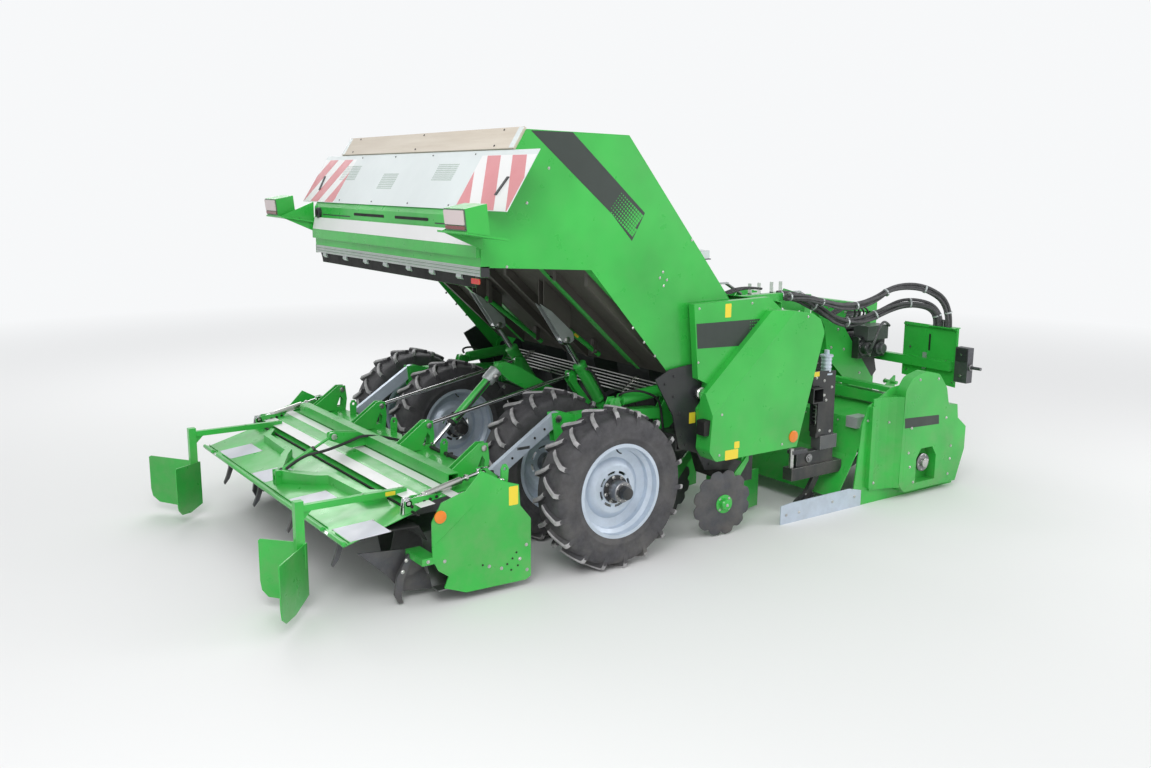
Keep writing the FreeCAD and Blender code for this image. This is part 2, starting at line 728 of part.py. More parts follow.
# ---------------------------------------------------------------- frame
def frame_plate():
    """Right-hand dark side plate that carries the hopper hinge and the covers."""
    outer = -size.frame_half
    inner = outer + size.frame_plate
    outline = [(470, 1230), (600, 1290), (1000, 1330), (1560, 1560), (1620, 1500), (1600, 640), (1180, 470),
               (960, 500), (880, 640), (700, 700), (640, 950)]
    sheet_plate = pad("SidePlate", outline, outer, inner)
    pin = shaft("HingePin", size.pivot_pin, size.pivot_x, size.pivot_z, outer - 40,
                -size.hopper_half + size.thin + size.plate)
    cap = shaft("HingeCap", size.pivot_pin + 12, size.pivot_x, size.pivot_z, outer - 34, outer)
    return fuse("FramePlate", sheet_plate, pin, cap)


def main_frame():
    """Cross tubes and lengthwise tubes under the hopper, and the tube for the discs."""
    inner = size.frame_half - size.frame_plate
    disc_tube_x = size.front_beam_x - size.beam / 2 + size.disc_bar / 2 + 5
    beam = size.beam
    wall = size.beam_wall
    tubes = [
        tube("FrontTube", size.front_beam_x, size.front_beam_z, beam, beam, wall, -inner, inner),
        tube("RearTube", size.rear_beam_x, size.rear_beam_z, beam, beam, wall, -inner, inner),
        tube("DiscTube", disc_tube_x, size.disc_bar_z, size.disc_bar, size.disc_bar, 6, -inner, inner),
        tube("Toolbar", size.tool_beam_x, size.tool_beam_z, beam, beam, wall, -size.tool_half,
             size.tool_half),
    ]
    half = size.rail_size / 2
    rear_end = size.rear_beam_x + beam / 2
    front_end = size.tool_beam_x - beam / 2
    low = size.rear_beam_z - half
    high = size.tool_beam_z - half
    for number, place_between in enumerate((-1, 0, 1)):
        middle = size.row_pitch * place_between
        rail_outline = [(rear_end, low), (rear_end + 160, low), (front_end - 260, high), (front_end, high),
                        (front_end, high + size.rail_size), (front_end - 290, high + size.rail_size),
                        (rear_end + 130, low + size.rail_size), (rear_end, low + size.rail_size)]
        tubes.append(pad(f"Rail{number}", rail_outline, middle - half, middle + half))
    return fuse("MainFrame", *tubes, *coupling_bars())


def coupling_bars():
    """Tubes that join the planter's toolbar to the tiller."""
    parts = []
    front = size.tool_beam_x + size.beam / 2
    top = size.tool_beam_z + size.beam / 2
    for side in (-1, 1):
        y = dim(420 * side)
        lug = [(1980, top), (2080, top), (2380, 1480), (2420, 1560), (2380, 1620), (2280, 1620), (2200, 1560)]
        parts.append(pad(f"CouplingLug{side + 1}", lug, y - 15, y + 15))
        y = dim(640 * side)
        parts.append(box(f"CouplingBar{side + 1}", (front, 2850), (y - 40, y + 40), (870, 950)))
    return parts


def ram_bracket():
    """Right-hand clevis on the rear cross tube for a hopper cylinder's foot."""
    y = -size.ram_y
    gap = size.ram_eye_width + size.side_play * 2
    foot = size.rear_beam_z + size.beam / 2
    pin = (size.ram_foot_x, size.ram_foot_z)
    outline = [(size.rear_beam_x - 58, foot), (size.rear_beam_x + 50, foot), (pin[0] + 36, pin[1] + 32),
               (pin[0] - 36, pin[1] + 32), (pin[0] - 40, pin[1] - 10)]
    return fuse("RamBracket", *pair("RamCheek", outline, y, gap, size.plate),
                pin_through("RamFootPin", size.ram_pin, pin, y, gap, size.plate))


def link_bracket():
    """Right-hand lug on the rear cross tube for a ridger top link."""
    y = -size.link_y
    gap = size.link_width + size.side_play * 2
    foot = size.rear_beam_z + size.beam / 2
    pin = (size.link_head_x, size.link_head_z)
    outline = [(size.rear_beam_x - 60, foot - 100), (size.rear_beam_x - 60, foot - 10),
               (pin[0] + 40, pin[1] - 60),
               (pin[0] + 34, pin[1] + 30), (pin[0] - 30, pin[1] + 30), (pin[0] - 36, pin[1] - 40)]
    return fuse("LinkBracket", *pair("LinkCheek", outline, y, gap, size.plate),
                pin_through("LinkHeadPin", size.link_pin, pin, y, gap, size.plate))


def lift_boom():
    """Boom from the rear cross tube back to the lift cylinder's head pin."""
    y = -size.lift_y
    head = (size.lift_head_x, size.lift_head_z)
    start = size.rear_beam_x - size.beam / 2
    low = size.rear_beam_z - size.beam / 2
    outline = [(start, low + 10), (start, low + 110), (head[0] + 160, head[1] - 20),
               (head[0] + 80, head[1] + 10),
               (head[0] + 60, head[1] - 110)]
    gap = size.lift_width + size.side_play * 2
    half = gap / 2 + size.plate
    boom = pad("LiftBoom", outline, y - half, y + half)
    cheek = [(head[0] + 160, head[1] - 80), (head[0] + 160, head[1] - 20), (head[0] + 30, head[1] + 34),
             (head[0] - 34, head[1] + 30), (head[0] - 30, head[1] - 34), (head[0] + 60, head[1] - 110)]
    return fuse("LiftBoomArm", boom, *pair("BoomCheek", cheek, y, gap, size.plate),
                pin_through("LiftHeadPin", size.lift_pin, head, y, gap, size.plate))


# ---------------------------------------------------------------- hopper
def hopper_side():
    """Right-hand side sheet of the hopper with its hinge ear."""
    outer = -size.hopper_half
    inner = outer + size.thin
    outline = [(size.apex_x, size.apex_z), (size.crown_x, size.crown_z), (size.nose_x, size.nose_z),
               (size.pivot_x + 180, 1180), (size.pivot_x + 90, size.pivot_z - 40),
               (size.pivot_x, size.pivot_z - 80), (size.pivot_x - 70, size.pivot_z - 40),
               (size.floor_bend_x, size.floor_bend_z - 20), (size.rear_foot_x, size.rear_foot_z - 10),
               (size.rear_foot_x, size.rear_step_z)]
    bore = (size.pivot_x, size.pivot_z, size.pivot_pin + size.fit)
    sheet_side = pad("HopperSide", outline, outer, inner, circles=[bore])
    ear = ring("HopperEar", size.pivot_x, size.pivot_z, size.pivot_pin + 34, size.pivot_pin + size.fit,
               outer, inner + size.plate)
    return fuse("HopperSideRight", sheet_side, ear)


def sheet(name, path, thickness, low, high):
    """Folded sheet across the machine; the path runs along its upper or left face."""
    def offset(index):
        """The path's point moved square to its runs by the sheet's thickness."""
        here = path[index]
        before = path[index - 1] if index else None
        after = path[index + 1] if index + 1 < len(path) else None
        turns = []
        for start, end in ((before, here), (here, after)):
            if start is None or end is None:
                continue
            turns.append(bearing(dim(end[1]) - start[1], dim(end[0]) - start[0]))
        mean = turns[0] if len(turns) == 1 else (turns[0] + turns[1]) / 2
        reach = dim(thickness)
        if len(turns) == 2:
            reach = reach / cosine((turns[1] - turns[0]) / 2)
        return here[0] + reach * sine(mean), here[1] - reach * cosine(mean)
    back = [offset(index) for index in range(len(path))]
    return pad(name, list(path) + back[::-1], low, high)


def hopper():
    inner = size.hopper_half - size.thin
    side = hopper_side()
    node("hopper_sides", side, mirror(side))
    floor_path = [(size.rear_foot_x + size.thin + size.seat, size.rear_foot_z),
                  (size.floor_bend_x, size.floor_bend_z), (size.floor_front_x, size.floor_front_z)]
    node("hopper_floor", sheet("HopperFloor", floor_path, size.thin, -inner, inner))
    rear_path = [(size.apex_x, size.apex_z), (size.rear_foot_x, size.rear_step_z),
                 (size.rear_foot_x, size.rear_foot_z - 8)]
    node("hopper_rear_wall", sheet("HopperRear", rear_path, -size.thin, -inner, inner))


def on_floor(x):
    """Height of the sloping floor's underside at x."""
    rise = size.floor_front_z - size.floor_bend_z
    run = size.floor_front_x - size.floor_bend_x
    under = size.thin * span(run, rise) / run
    return size.floor_bend_z + (dim(x) - size.floor_bend_x) * rise / run - under


def hopper_rear_fittings():
    """Board, hazard panel, lamp boxes and tube on the rear wall."""
    slope = bearing(size.apex_x - size.rear_foot_x, size.apex_z - size.rear_step_z)
    length = span(size.apex_x - size.rear_foot_x, size.apex_z - size.rear_step_z)
    out_x = -cosine(slope)
    out_z = sine(slope)

    def slab(name, start, end, near, far, half):
        """A flat slab on the sloping wall, between two heights along it and two depths off it."""
        corners = []
        for share, depth in ((start, near), (end, near), (end, far), (start, far)):
            x = size.rear_foot_x + sine(slope) * share + out_x * depth
            z = size.rear_step_z + cosine(slope) * share + out_z * depth
            corners.append((x, z))
        return pad(name, corners, -dim(half), half)
    board = slab("RearBoard", length - size.board_reach, length + 8, dim(0), size.board_thick,
                 size.hopper_half - 12)
    node("hopper_board", board)
    panel = slab("HazardSheet", dim(40), length - size.board_reach - 6, size.thin,
                 size.thin + size.panel_thick,
                 size.panel_half)
    backing = slab("PanelBacking", dim(60), length - size.board_reach - 26, dim(0), size.thin,
                   size.hopper_half)
    node("hazard_panel", fuse("HazardPanel", panel, backing))
    foot_x = size.rear_foot_x
    foot_z = size.rear_foot_z
    shelf_outline = [(foot_x, foot_z + 50), (foot_x, foot_z + 220), (foot_x - 8, foot_z + 220),
                     (foot_x - 30, foot_z + 120), (foot_x - 30, foot_z + 50)]
    bumper = pad("Bumper", shelf_outline, -size.hopper_half, size.hopper_half)
    tail_x = size.rear_foot_x + size.tail_beam / 2
    top = on_rear_floor(tail_x + size.tail_beam / 2) - size.seat
    beam = tube("TailBeam", tail_x, top - size.tail_beam / 2, size.tail_beam, size.tail_beam, 4,
                -size.hopper_half + size.thin + size.seat, size.hopper_half - size.thin - size.seat)
    node("hopper_rear_beams", bumper, beam)
    boxes = []
    for side in (-1, 1):
        low = size.lamp_y * side - 85
        lower = on_panel(dim(60))
        upper = on_panel(dim(170))
        step = size.rear_step_z
        outline = [lower, (foot_x - 280, step - 70), (foot_x - 295, step + 45), upper]
        boxes.append(pad(f"LampBox{side + 1}", outline, low, low + 170))
        wing_outline = [(foot_x, step - 180), (foot_x - 50, step - 180), (foot_x - 210, step - 50),
                        (foot_x - 50, step + 30), (foot_x + 40, step + 30)]
        wing_y = (size.hopper_half + 15) * side
        wing = pad(f"LampWing{side + 1}", wing_outline, wing_y - 15, wing_y + 15)
        boxes.append(wing)
    node("lamp_boxes", *boxes)


def on_panel(share):
    """A point on the hazard panel's outer face, at a distance up the slope from the step."""
    slope = bearing(size.apex_x - size.rear_foot_x, size.apex_z - size.rear_step_z)
    depth = size.thin + size.panel_thick
    return (size.rear_foot_x + sine(slope) * share - cosine(slope) * depth,
            size.rear_step_z + cosine(slope) * share + sine(slope) * depth)


def on_rear_floor(x):
    """Height of the flat rear floor's underside at x."""
    rise = size.floor_bend_z - size.rear_foot_z
    run = size.floor_bend_x - size.rear_foot_x - size.thin
    slope = rise / run
    along_x = dim(x) - size.rear_foot_x - size.thin
    return size.rear_foot_z + along_x * slope - size.thin * span(run, rise) / run


def hopper_under():
    """Ribs, cylinder lugs and safety props under the sloping floor."""
    foot = 80
    ribs = []
    edge = size.hopper_half - 145
    inner = size.ram_y + 325
    for number, middle in enumerate((-edge, -inner, -dim(150), dim(150), inner, edge)):
        outline = [(size.floor_bend_x + 60, on_floor(size.floor_bend_x + 60)), (760, on_floor(760)),
                   (740, on_floor(740) - 40), (size.floor_bend_x + 90,
                                               on_floor(size.floor_bend_x + 90) - foot)]
        ribs.append(pad(f"FloorRib{number}", outline, middle - 20, middle + 20))
    y = -size.ram_y
    head = (size.ram_head_x, size.ram_head_z)
    gap = size.ram_eye_width + size.side_play * 2
    outline = [(head[0] + 34, head[1] - 20), (head[0] + 20, head[1] - 36), (head[0] - 30, head[1] - 20),
               (60, on_floor(60)), (330, on_floor(330))]
    lug = fuse("HeadLug", *pair("HeadCheek", outline, y, gap, size.plate),
               pin_through("HeadPin", size.ram_pin, head, y, gap, size.plate))
    foot = (size.ram_foot_x, size.ram_foot_z)
    prop_y = y - size.ram_radius - 29
    top_point = along(head, foot, 20)
    prop = fuse("SafetyProp", bar("PropChannel", top_point, along(head, foot, 400), prop_y, 44, 44),
                box("PropSeat", (top_point[0] - 90, top_point[0] + 20), (prop_y - 22, prop_y + 22),
                    (top_point[1] - 24, on_floor(top_point[0] + 20))))
    node("hopper_brackets", *ribs, lug, mirror(lug), prop, mirror(prop))


# ---------------------------------------------------------------- hopper cylinders
def rams():
    """Barrel and rod of the hopper cylinders along the line between their two pins."""
    foot = (size.ram_foot_x, size.ram_foot_z)
    head = (size.ram_head_x, size.ram_head_z)
    y = -size.ram_y
    low = y - size.ram_eye_width / 2
    high = y + size.ram_eye_width / 2
    length = span(head[0] - foot[0], head[1] - foot[1])
    barrel = rod("RamBarrel", size.ram_radius, along(foot, head, size.ram_eye + 22),
                 along(foot, head, size.ram_barrel), y)
    neck = rod("RamNeck", size.ram_rod, along(foot, head, 20), along(foot, head, size.ram_eye + 30), y)
    body = fuse("RamOuter", barrel, neck, shaft("RamEye", size.ram_eye, *foot, low, high))
    bore = rod("RamBore", size.ram_rod + size.fit, along(foot, head, size.ram_eye + 32),
               along(foot, head, size.ram_barrel + 5), y)
    outer = drilled("RamBarrelBody", cut("RamBored", body, bore), size.ram_pin + size.fit, [foot], y,
                    size.ram_eye_width)
    node("ram_barrels", outer, mirror(outer))
    piston = rod("RamRod", size.ram_rod, along(foot, head, size.ram_barrel - 170),
                 along(foot, head, length - size.ram_eye + 6), y)
    body = fuse("RamRodBody", piston, shaft("RodEye", size.ram_eye, *head, low, high))
    inner = drilled("RamInner", body, size.ram_pin + size.ram_drift, [head], y, size.ram_eye_width)
    node("ram_rods", inner, mirror(inner))


# ---------------------------------------------------------------- covers and fixed hopper
def side_cover():
    """Right-hand drive cover: a tray against the frame with a proud lower part."""
    back = -size.frame_half
    face = -size.cover_face
    proud = -size.cover_proud
    cap_x = size.pivot_x + size.pivot_pin + 15
    cap_z = size.pivot_z
    tray = [(815, 1210), (760, 1750), (1500, 1760), (1660, 1640), (1780, 1300), (1640, 640), (960, 640),
            (880, 720),
            (850, 980), (cap_x, cap_z - 60), (cap_x, cap_z + 65)]
    upper = pad("CoverTray", tray, face, back)
    lower_outline = [(845, 1105), (1480, 1665), (1590, 1668), (1810, 1635), (1900, 1585), (1950, 1480),
                     (1700, 620),
                     (870, 620), (810, 700)]
    body = pad("CoverProud", lower_outline, proud, face, rounds=[(60, [5]), (50, [7, 8])])
    doc.recompute()
    base = body.Tip
    chamfer = body.newObject("PartDesign::Chamfer", "CoverBevel")
    chamfer.Base = (base, bevel_edge(base, lower_outline[0], lower_outline[1], proud))
    chamfer.Size = 100
    body.Tip = chamfer
    return fuse("SideCover", upper, body)


def bevel_edge(feature, start, end, level):
    """The edge of a padded face that runs along one side of its outline."""
    ends = [tuple(dim(value).value for value in point) for point in (start, end)]
    run = (ends[1][0] - ends[0][0], ends[1][1] - ends[0][1])
    length = math.hypot(*run)
    names = []
    for number, edge in enumerate(feature.Shape.Edges, start=1):
        points = [vertex.Point for vertex in edge.Vertexes]
        if len(points) == 2 and all(
                abs(point.y - dim(level).value) < 0.01 and
                abs((point.x - ends[0][0]) * run[1] - (point.z - ends[0][1]) * run[0]) / length < 0.01
                for point in points):
            names.append(f"Edge{number}")
    return names


def front_wall():
    """Folded sheet in front of the cup belts, with the arm that carries the hoses on it."""
    face = size.front_beam_x + size.beam / 2 + size.seat
    half = size.frame_half - size.frame_plate - size.seat
    path = [(face, size.front_beam_z - 10), (face + 70, size.front_beam_z + 90),
            (size.wall_x, size.wall_x - 450),
            (size.wall_x, size.wall_top), (size.wall_x - 50, size.wall_top + 12)]
    wall = sheet("FrontWall", path, size.thin, -half, half)
    return fuse("FrontWallArmed", wall, box("HoseArm", (size.wall_x, size.hose_start),
                                            (-size.hose_y - 30, -size.hose_y + 30),
                                            (size.wall_top - 60, size.wall_top)))


# ---------------------------------------------------------------- planting units
def planting_units():
    """Housing of the cup belts and furrow opener of every row."""
    housings = []
    openers = []
    front = size.front_beam_x - size.beam / 2
    foot = size.unit_foot
    for number, row in enumerate(ROWS):
        y = size.row_pitch * row
        outline = [(1060, 1560), (front, 1600), (front, 600), (1500, 560), (1500, foot), (1290, foot),
                   (1180, 640), (1060, 1100)]
        housings.append(pad(f"CupHousing{number}", outline, y - size.unit_half, y + size.unit_half))
        wedge = [(1780, y), (1520, y + 55), (1280, y + 70), (1280, y - 70), (1520, y - 55)]
        openers.append(pad(f"Opener{number}", wedge, 20, foot, "XY"))
    node("cup_belt_housings", *housings)
    node("furrow_openers", *openers)


def disc_master():
    """Dished, notched disc with its hub, facing -Y."""
    rim = size.disc_radius
    thick = size.disc_thick
    dish = size.disc_dish
    sides = 24
    plate = faceted("DiscPlate", sides, [(0, rim), (-thick, rim), (-dish - thick, rim * 0.45)])
    hollow = faceted("DiscHollow", sides, [(1, rim + 6), (-dish, rim * 0.45 - 4)])
    hub = faceted("DiscHub", sides // 2, [(-4, size.disc_hub), (-70, size.disc_hub),
                                          (-76, size.disc_hub - 12)])
    notch = pad("DiscNotch", [(-34, rim + 20), (-18, rim - 22), (18, rim - 22), (34, rim + 20)], -60, 20)
    notches = fuse("DiscNotches", *[copy(notch, f"DiscNotch{number}", axis=AXIS_Y, angle=30 * number)
                                    for number in range(12)])
    bore = shaft("DiscBore", size.disc_pin + size.fit, 0, 0, -50, 0)
    dished = cut("DiscDished", plate, hollow)
    return cut("DiscMaster", fuse("DiscWithHub", cut("DiscNotched", dished, notches), hub), bore)


def discs():
    """Two toed-in closing discs a row, each on an arm that hangs from the frame."""
    disc = disc_master()
    turned = mirror(disc, "DiscOutward")
    bar_face = size.front_beam_x - size.beam / 2 + 5
    arms = []
    for row in ROWS:
        for side in (-1, 1):
            outer = abs(row) > 1 and side * row > 0
            inner_y = size.row_pitch * row + size.disc_reach * side
            y = (size.frame_half + size.disc_proud) * side if outer else inner_y
            name = f"disc_{len(arms) + 1}"
            node(name, copy(turned if side > 0 else disc, name.title(), size.disc_x, y, size.disc_z, AXIS_Z,
                            size.disc_toe * side))
            pin = copy(shaft(f"{name}_pin", size.disc_pin, 0, 0, -48, 34), f"{name}_pin_toed", axis=AXIS_Z,
                       angle=-size.disc_toe)
            run = 270 if outer else bar_face - size.disc_x
            rise = 310 if outer else size.disc_bar_z - size.disc_z
            leg = pad(f"{name}_leg", [(-25, -30), (30, -25), (run, rise - 28), (run, rise + 28), (-20, 60)],
                      8, 20)
            parts = [pin, leg]
            if outer:
                parts.append(box(f"{name}_foot", (run - 60, run), (20, size.disc_proud),
                                 (rise - 28, rise + 28)))
            arm = fuse(f"{name}_arm", *parts)
            arms.append(copy(arm if side < 0 else mirror(arm), f"{name}_arm_at", size.disc_x, y, size.disc_z))
    node("disc_arms", *arms)


def octagon(x, z, radius):
    """Eight corners round a middle."""
    return [(x + radius * cosine(45 * number), z + radius * sine(45 * number)) for number in range(8)]


def grille():
    """Band of round rods through three combs that stand on the rear cross tube."""
    parts = []
    half = size.grille_half
    for number in range(6):
        x = size.rear_beam_x - 50 + 24 * number
        z = 1015 + 18 * number
        parts.append(pad(f"GrilleRod{number}", octagon(x, z, size.grille_rod), -half, half))
    foot = size.rear_beam_z + size.beam / 2
    comb = [(size.rear_beam_x - 50, foot), (size.rear_beam_x + 50, foot), (size.rear_beam_x + 90, 1125),
            (size.rear_beam_x + 50, 1125), (size.rear_beam_x - 70, 1030), (size.rear_beam_x - 70, 995)]
    for number, between in enumerate((-1, 0, 1)):
        y = size.row_pitch * between
        parts.append(pad(f"GrilleComb{number}", comb, y - 5, y + 5))
    node("rod_grille", fuse("RodGrille", *parts))


# ---------------------------------------------------------------- tiller
def tiller_side():
    """Right-hand tiller side plate with the proud drive case and its bearing recess."""
    outer = -size.tiller_half
    inner = outer + size.plate
    base = [(2420, 0), (3730, 0), (3740, 330), (3740, 530), (3620, 620), (3480, 750), (3430, 880),
            (2960, 960),
            (2840, 950), (2560, 820), (2500, 680)]
    bore = (size.rotor_x, size.rotor_z, size.rotor_journal + size.fit)
    sheet_side = pad("TillerSide", base, outer, inner, circles=[bore])
    case = [(2880, 130), (2960, 60), (3640, 60), (3740, 330), (3740, 530), (3620, 620), (3600, 740),
            (3480, 750),
            (3440, 900), (3330, 1030), (3150, 1070), (2980, 1030), (2900, 930)]
    housing = pad("DriveCase", case, outer - size.tiller_case, outer,
                  rounds=[(90, [8, 9, 10, 11, 12]), (60, [0])])
    recess = pad("CaseRecess", [(size.rotor_x - 130, 120), (size.rotor_x + 130, 120),
                                (size.rotor_x + 130, 330),
                                (size.rotor_x + 75, 410), (size.rotor_x - 75, 410),
                                (size.rotor_x - 130, 330)],
                 outer - size.tiller_case - 5, outer)
    bearing_boss = ring("BearingBoss", size.rotor_x, size.rotor_z, size.rotor_journal + 38,
                        size.rotor_journal + size.fit, outer - 50, outer)
    guard_plan = [(2890, outer), (2610, outer), (2610, outer - 12), (2690, outer - 16), (2770, outer - 32),
                  (2840, outer - 60), (2890, outer - size.tiller_case)]
    guard = pad("TillerGuard", guard_plan, 110, 880, "XY")
    post = box("GuardPost", (2575, 2625), (outer - 36, outer), (140, 820))
    return fuse("TillerSideRight", sheet_side, cut("CaseOpened", housing, recess), bearing_boss, guard, post)


def tiller():
    side = tiller_side()
    node("tiller_sides", side, mirror(side))
    inner = size.tiller_half - size.plate
    x = size.rotor_x
    z = size.rotor_z
    hood_path = [(2240, 100), (2440, 420), (2560, 700), (2900, 760), (3150, 800), (3500, 640), (3620, 420)]
    node("tiller_hood", sheet("TillerHood", hood_path, size.thin, -inner, inner))
    beams = [tube("TillerBeamRear", dim(2900), dim(832), 100, 84, 8, -inner, inner),
             tube("TillerBeamTop", dim(2905), dim(918), 70, 40, 5, -inner, inner),
             tube("TillerBeamFront", dim(3680), dim(430), 100, 160, 8, -inner, inner)]
    node("tiller_beams", *beams)
    tube_part = shaft("RotorTube", size.rotor_tube, x, z, -inner + 40, inner - 40)
    journal = shaft("RotorJournal", size.rotor_journal, x, z, -size.tiller_half - 45, size.tiller_half + 45)
    tine = pad("RotorTine", [(-20, 0), (20, 0), (34, size.rotor_reach - 60), (60, size.rotor_reach - 16),
                             (30, size.rotor_reach - 10), (-6, size.rotor_reach - 70)], -8, 8)
    tines = []
    for number in range(24):
        y = (number - 11.5) * 118
        tines.append(copy(tine, f"Tine{number}", x, y, z, AXIS_Y, 75 * number))
    node("tiller_rotor", fuse("TillerRotor", tube_part, journal, *tines))
    skid = [(1600, 0), (2520, 0), (2520, 130), (2380, 165), (1700, 160), (1600, 150)]
    plate_right = pad("Skid", skid, -size.tiller_half - 8, -size.tiller_half)
    node("skid_plates", plate_right, mirror(plate_right))


def headstock():
    """Tower on the tiller's front tube with hitch pins and a top link bracket, and its gearbox."""
    parts = [box("TowerFoot", (3640, 3960), (-600, 600), (510, 620))]
    leg = [(2960, 1460), (3060, 1560), (3330, 1540), (3360, 1480), (3300, 1330), (3742, 800), (3742, 600),
           (3600, 600),
           (3120, 1040), (3060, 1330)]
    for side in (-1, 1):
        y = dim(560 * side)
        parts += pair(f"TowerLeg{side + 1}", leg, y, dim(60), dim(12))
        parts.append(box(f"TowerWeb{side + 1}", (3120, 3300), (y - 30, y + 30), (1100, 1300)))
        parts.append(box(f"TowerLegFoot{side + 1}", (3660, 3742), (y - 30, y + 30), (600, 800)))
        parts.append(bar(f"TowerPost{side + 1}", (3900, 1480), (3900, 600), dim(420 * side), 90, 60))
        parts.append(bar(f"TowerStay{side + 1}", (3250, 1480), (3900, 1440), dim(450 * side), 70, 60))
        parts.append(box(f"TowerTie{side + 1}", (3200, 3300), *sorted_span(420 * side, 560 * side),
                         (1440, 1500)))
        cheek_y = size.hitch_y * side
        cheek = [(3900, 510), (4180, 600), (4180, 760), (3960, 620)]
        parts.append(pad(f"HitchCheek{side + 1}", cheek, cheek_y - 10, cheek_y + 10))
        parts.append(shaft(f"HitchPin{side + 1}", size.hitch_pin, size.hitch_x, size.hitch_z, cheek_y - 70,
                           cheek_y + 70))
    parts.append(box("TowerTop", (3870, 3940), (-450, 450), (1380, 1460)))
    node("headstock", fuse("Headstock", *parts))
    case = [(3420, 860), (3420, 1050), (3500, 1120), (3720, 1120), (3800, 1040), (3800, 620), (3660, 620)]
    stub = rod("PtoStub", size.pto_radius, (3790, 880), (4010, 880), 0)
    node("gearbox", fuse("Gearbox", pad("GearCase", case, -180, 180, rounds=[(40, [1, 2, 3, 4])]), stub))


def sorted_span(first, second):
    """Two levels in rising order, as one range."""
    return [tuple(sorted((dim(first), dim(second)), key=lambda level: level.value))]


def hitch_shields():
    """Shields beside the tower on cross tubes, and the parking pins at their ends."""
    low = size.shield_y
    far = size.shield_end
    x = size.shield_x
    plate = pad("ShieldPlate", [(-far, 810), (-low, 850), (-low, 1345), (-far, 1340)], x - 4, x + 4, "YZ")
    arm = box("ShieldArm", (x - 70, x - 4), (-far + 20, -450), (960, 1040))
    shelf = box("ShieldShelf", (x - 50, x + 50), (-far + 20, -far + 290), (1334, 1342))
    shield = fuse("Shield", plate, arm, shelf)
    node("hitch_shields", shield, mirror(shield))
    block = box("PinBlock", (x - 30, x + 50), (-far - 130, -far - size.seat), (870, 1180))
    pin = shaft("ParkingPin", 14, x + 10, 1010, -far - 240, -far - 100)
    holder = fuse("PinHolder", block, pin)
    node("parking_pins", holder, mirror(holder))


def hose(name, radius, points):
    """A round hose along straight runs joined by tangent arcs."""
    points = [Vector(*point) for point in points]
    start = points[0]
    edges = []
    for before, here, after in zip(points, points[1:], points[2:]):
        back = (before - here).normalize()
        ahead = (after - here).normalize()
        half_turn = (math.pi - back.getAngle(ahead)) / 2
        reach = 0.45 * min((before - here).Length, (after - here).Length)
        bend = reach / math.tan(half_turn)
        middle = here + (back + ahead).normalize() * (math.hypot(reach, bend) - bend)
        edges.append(Part.LineSegment(start, here + back * reach).toShape())
        edges.append(Part.Arc(here + back * reach, middle, here + ahead * reach).toShape())
        start = here + ahead * reach
    edges.append(Part.LineSegment(start, points[-1]).toShape())
    path = Part.Wire(edges)
    profile = Part.Wire(Part.Circle(points[0], points[1] - points[0], radius).toShape())
    item = doc.addObject("Part::Feature", name)
    item.Shape = path.makePipeShell([profile], True, True)
    expected = math.pi * radius ** 2 * path.Length
    if abs(item.Shape.Volume - expected) > 0.01 * expected:
        raise RuntimeError(f"{name} is not a full round hose")
    return item


def hoses():
    """Two bundles of hydraulic hoses from the arm on the planter to the shelf on the hitch shield."""
    radius = size.hose_radius.value
    y = -size.hose_y.value
    start = (size.hose_start + size.seat).value
    level = size.wall_top.value - 30
    end_x = size.shield_x.value
    end_z = 1342 + size.seat.value
    lower = hose("HoseBundleLower", radius, [
        (start, y + 50, level), (2420, y + 50, level), (2680, y + 40, 1560), (2960, y + 20, 1400),
        (3240, y, 1380),
        (3480, y - 60, 1480), (3680, y - 150, 1560), (end_x, y - 330, 1500), (end_x, y - 330, end_z)])
    upper = hose("HoseBundleUpper", radius * 0.8, [
        (start, y - 60, level), (2420, y - 60, level), (2660, y - 70, 1600), (2940, y - 80, 1530),
        (3240, y - 130, 1580),
        (3460, y - 170, 1700), (3700, y - 300, 1700), (end_x, y - 440, 1560), (end_x, y - 440, end_z)])
    node("hose_bundles", lower, upper)


def row_looseners():
    """Sprung shank on each end of the toolbar, between two plates."""
    y = -size.loosener_y
    gap = size.loosener_gap
    front = size.tool_beam_x + size.beam / 2
    outline = [(front, 640), (2280, 590), (2280, 1130), (2020, 1150), (2020, 1025), (front, 1025)]
    plates = pair("LoosenerPlate", outline, y, gap, size.plate)
    half = gap / 2
    block = box("LoosenerBlock", (front + size.seat, 2250), (y - half, y + half), (600, 700))
    shank = pad("LoosenerShank", [(2150, 640), (2190, 640), (2200, 420), (2170, 250), (2080, 120), (1980, 40),
                                  (1930, 60), (2040, 170), (2120, 290), (2150, 430)], y - 15, y + 15)
    share = pad("LoosenerShare", [(1900, 10), (2080, 90), (2090, 150), (1960, 90)], y - 45, y + 45)
    spindle = shaft("LoosenerSpindle", 20, 2150, 1060, y - half, y + half)
    loosener = fuse("Loosener", *plates, block, shank, share, spindle)
    node("row_looseners", loosener, mirror(loosener))


# ---------------------------------------------------------------- ridger
def ridger_side():
    """Right-hand side plate of the ridging hood."""
    outer = -size.ridger_half
    outline = [(-660, 70), (-660, 460), (-740, 560), (-750, 700), (-840, 730), (-1020, 830), (-1130, 720),
               (-1300, 670), (-1370, 560), (-1370, 320), (-1330, 240), (-1260, 190), (-1290, 120),
               (-1140, 60),
               (-700, 50)]
    return pad("RidgerSide", outline, outer, outer + size.plate, rounds=[(35, [8, 9])])


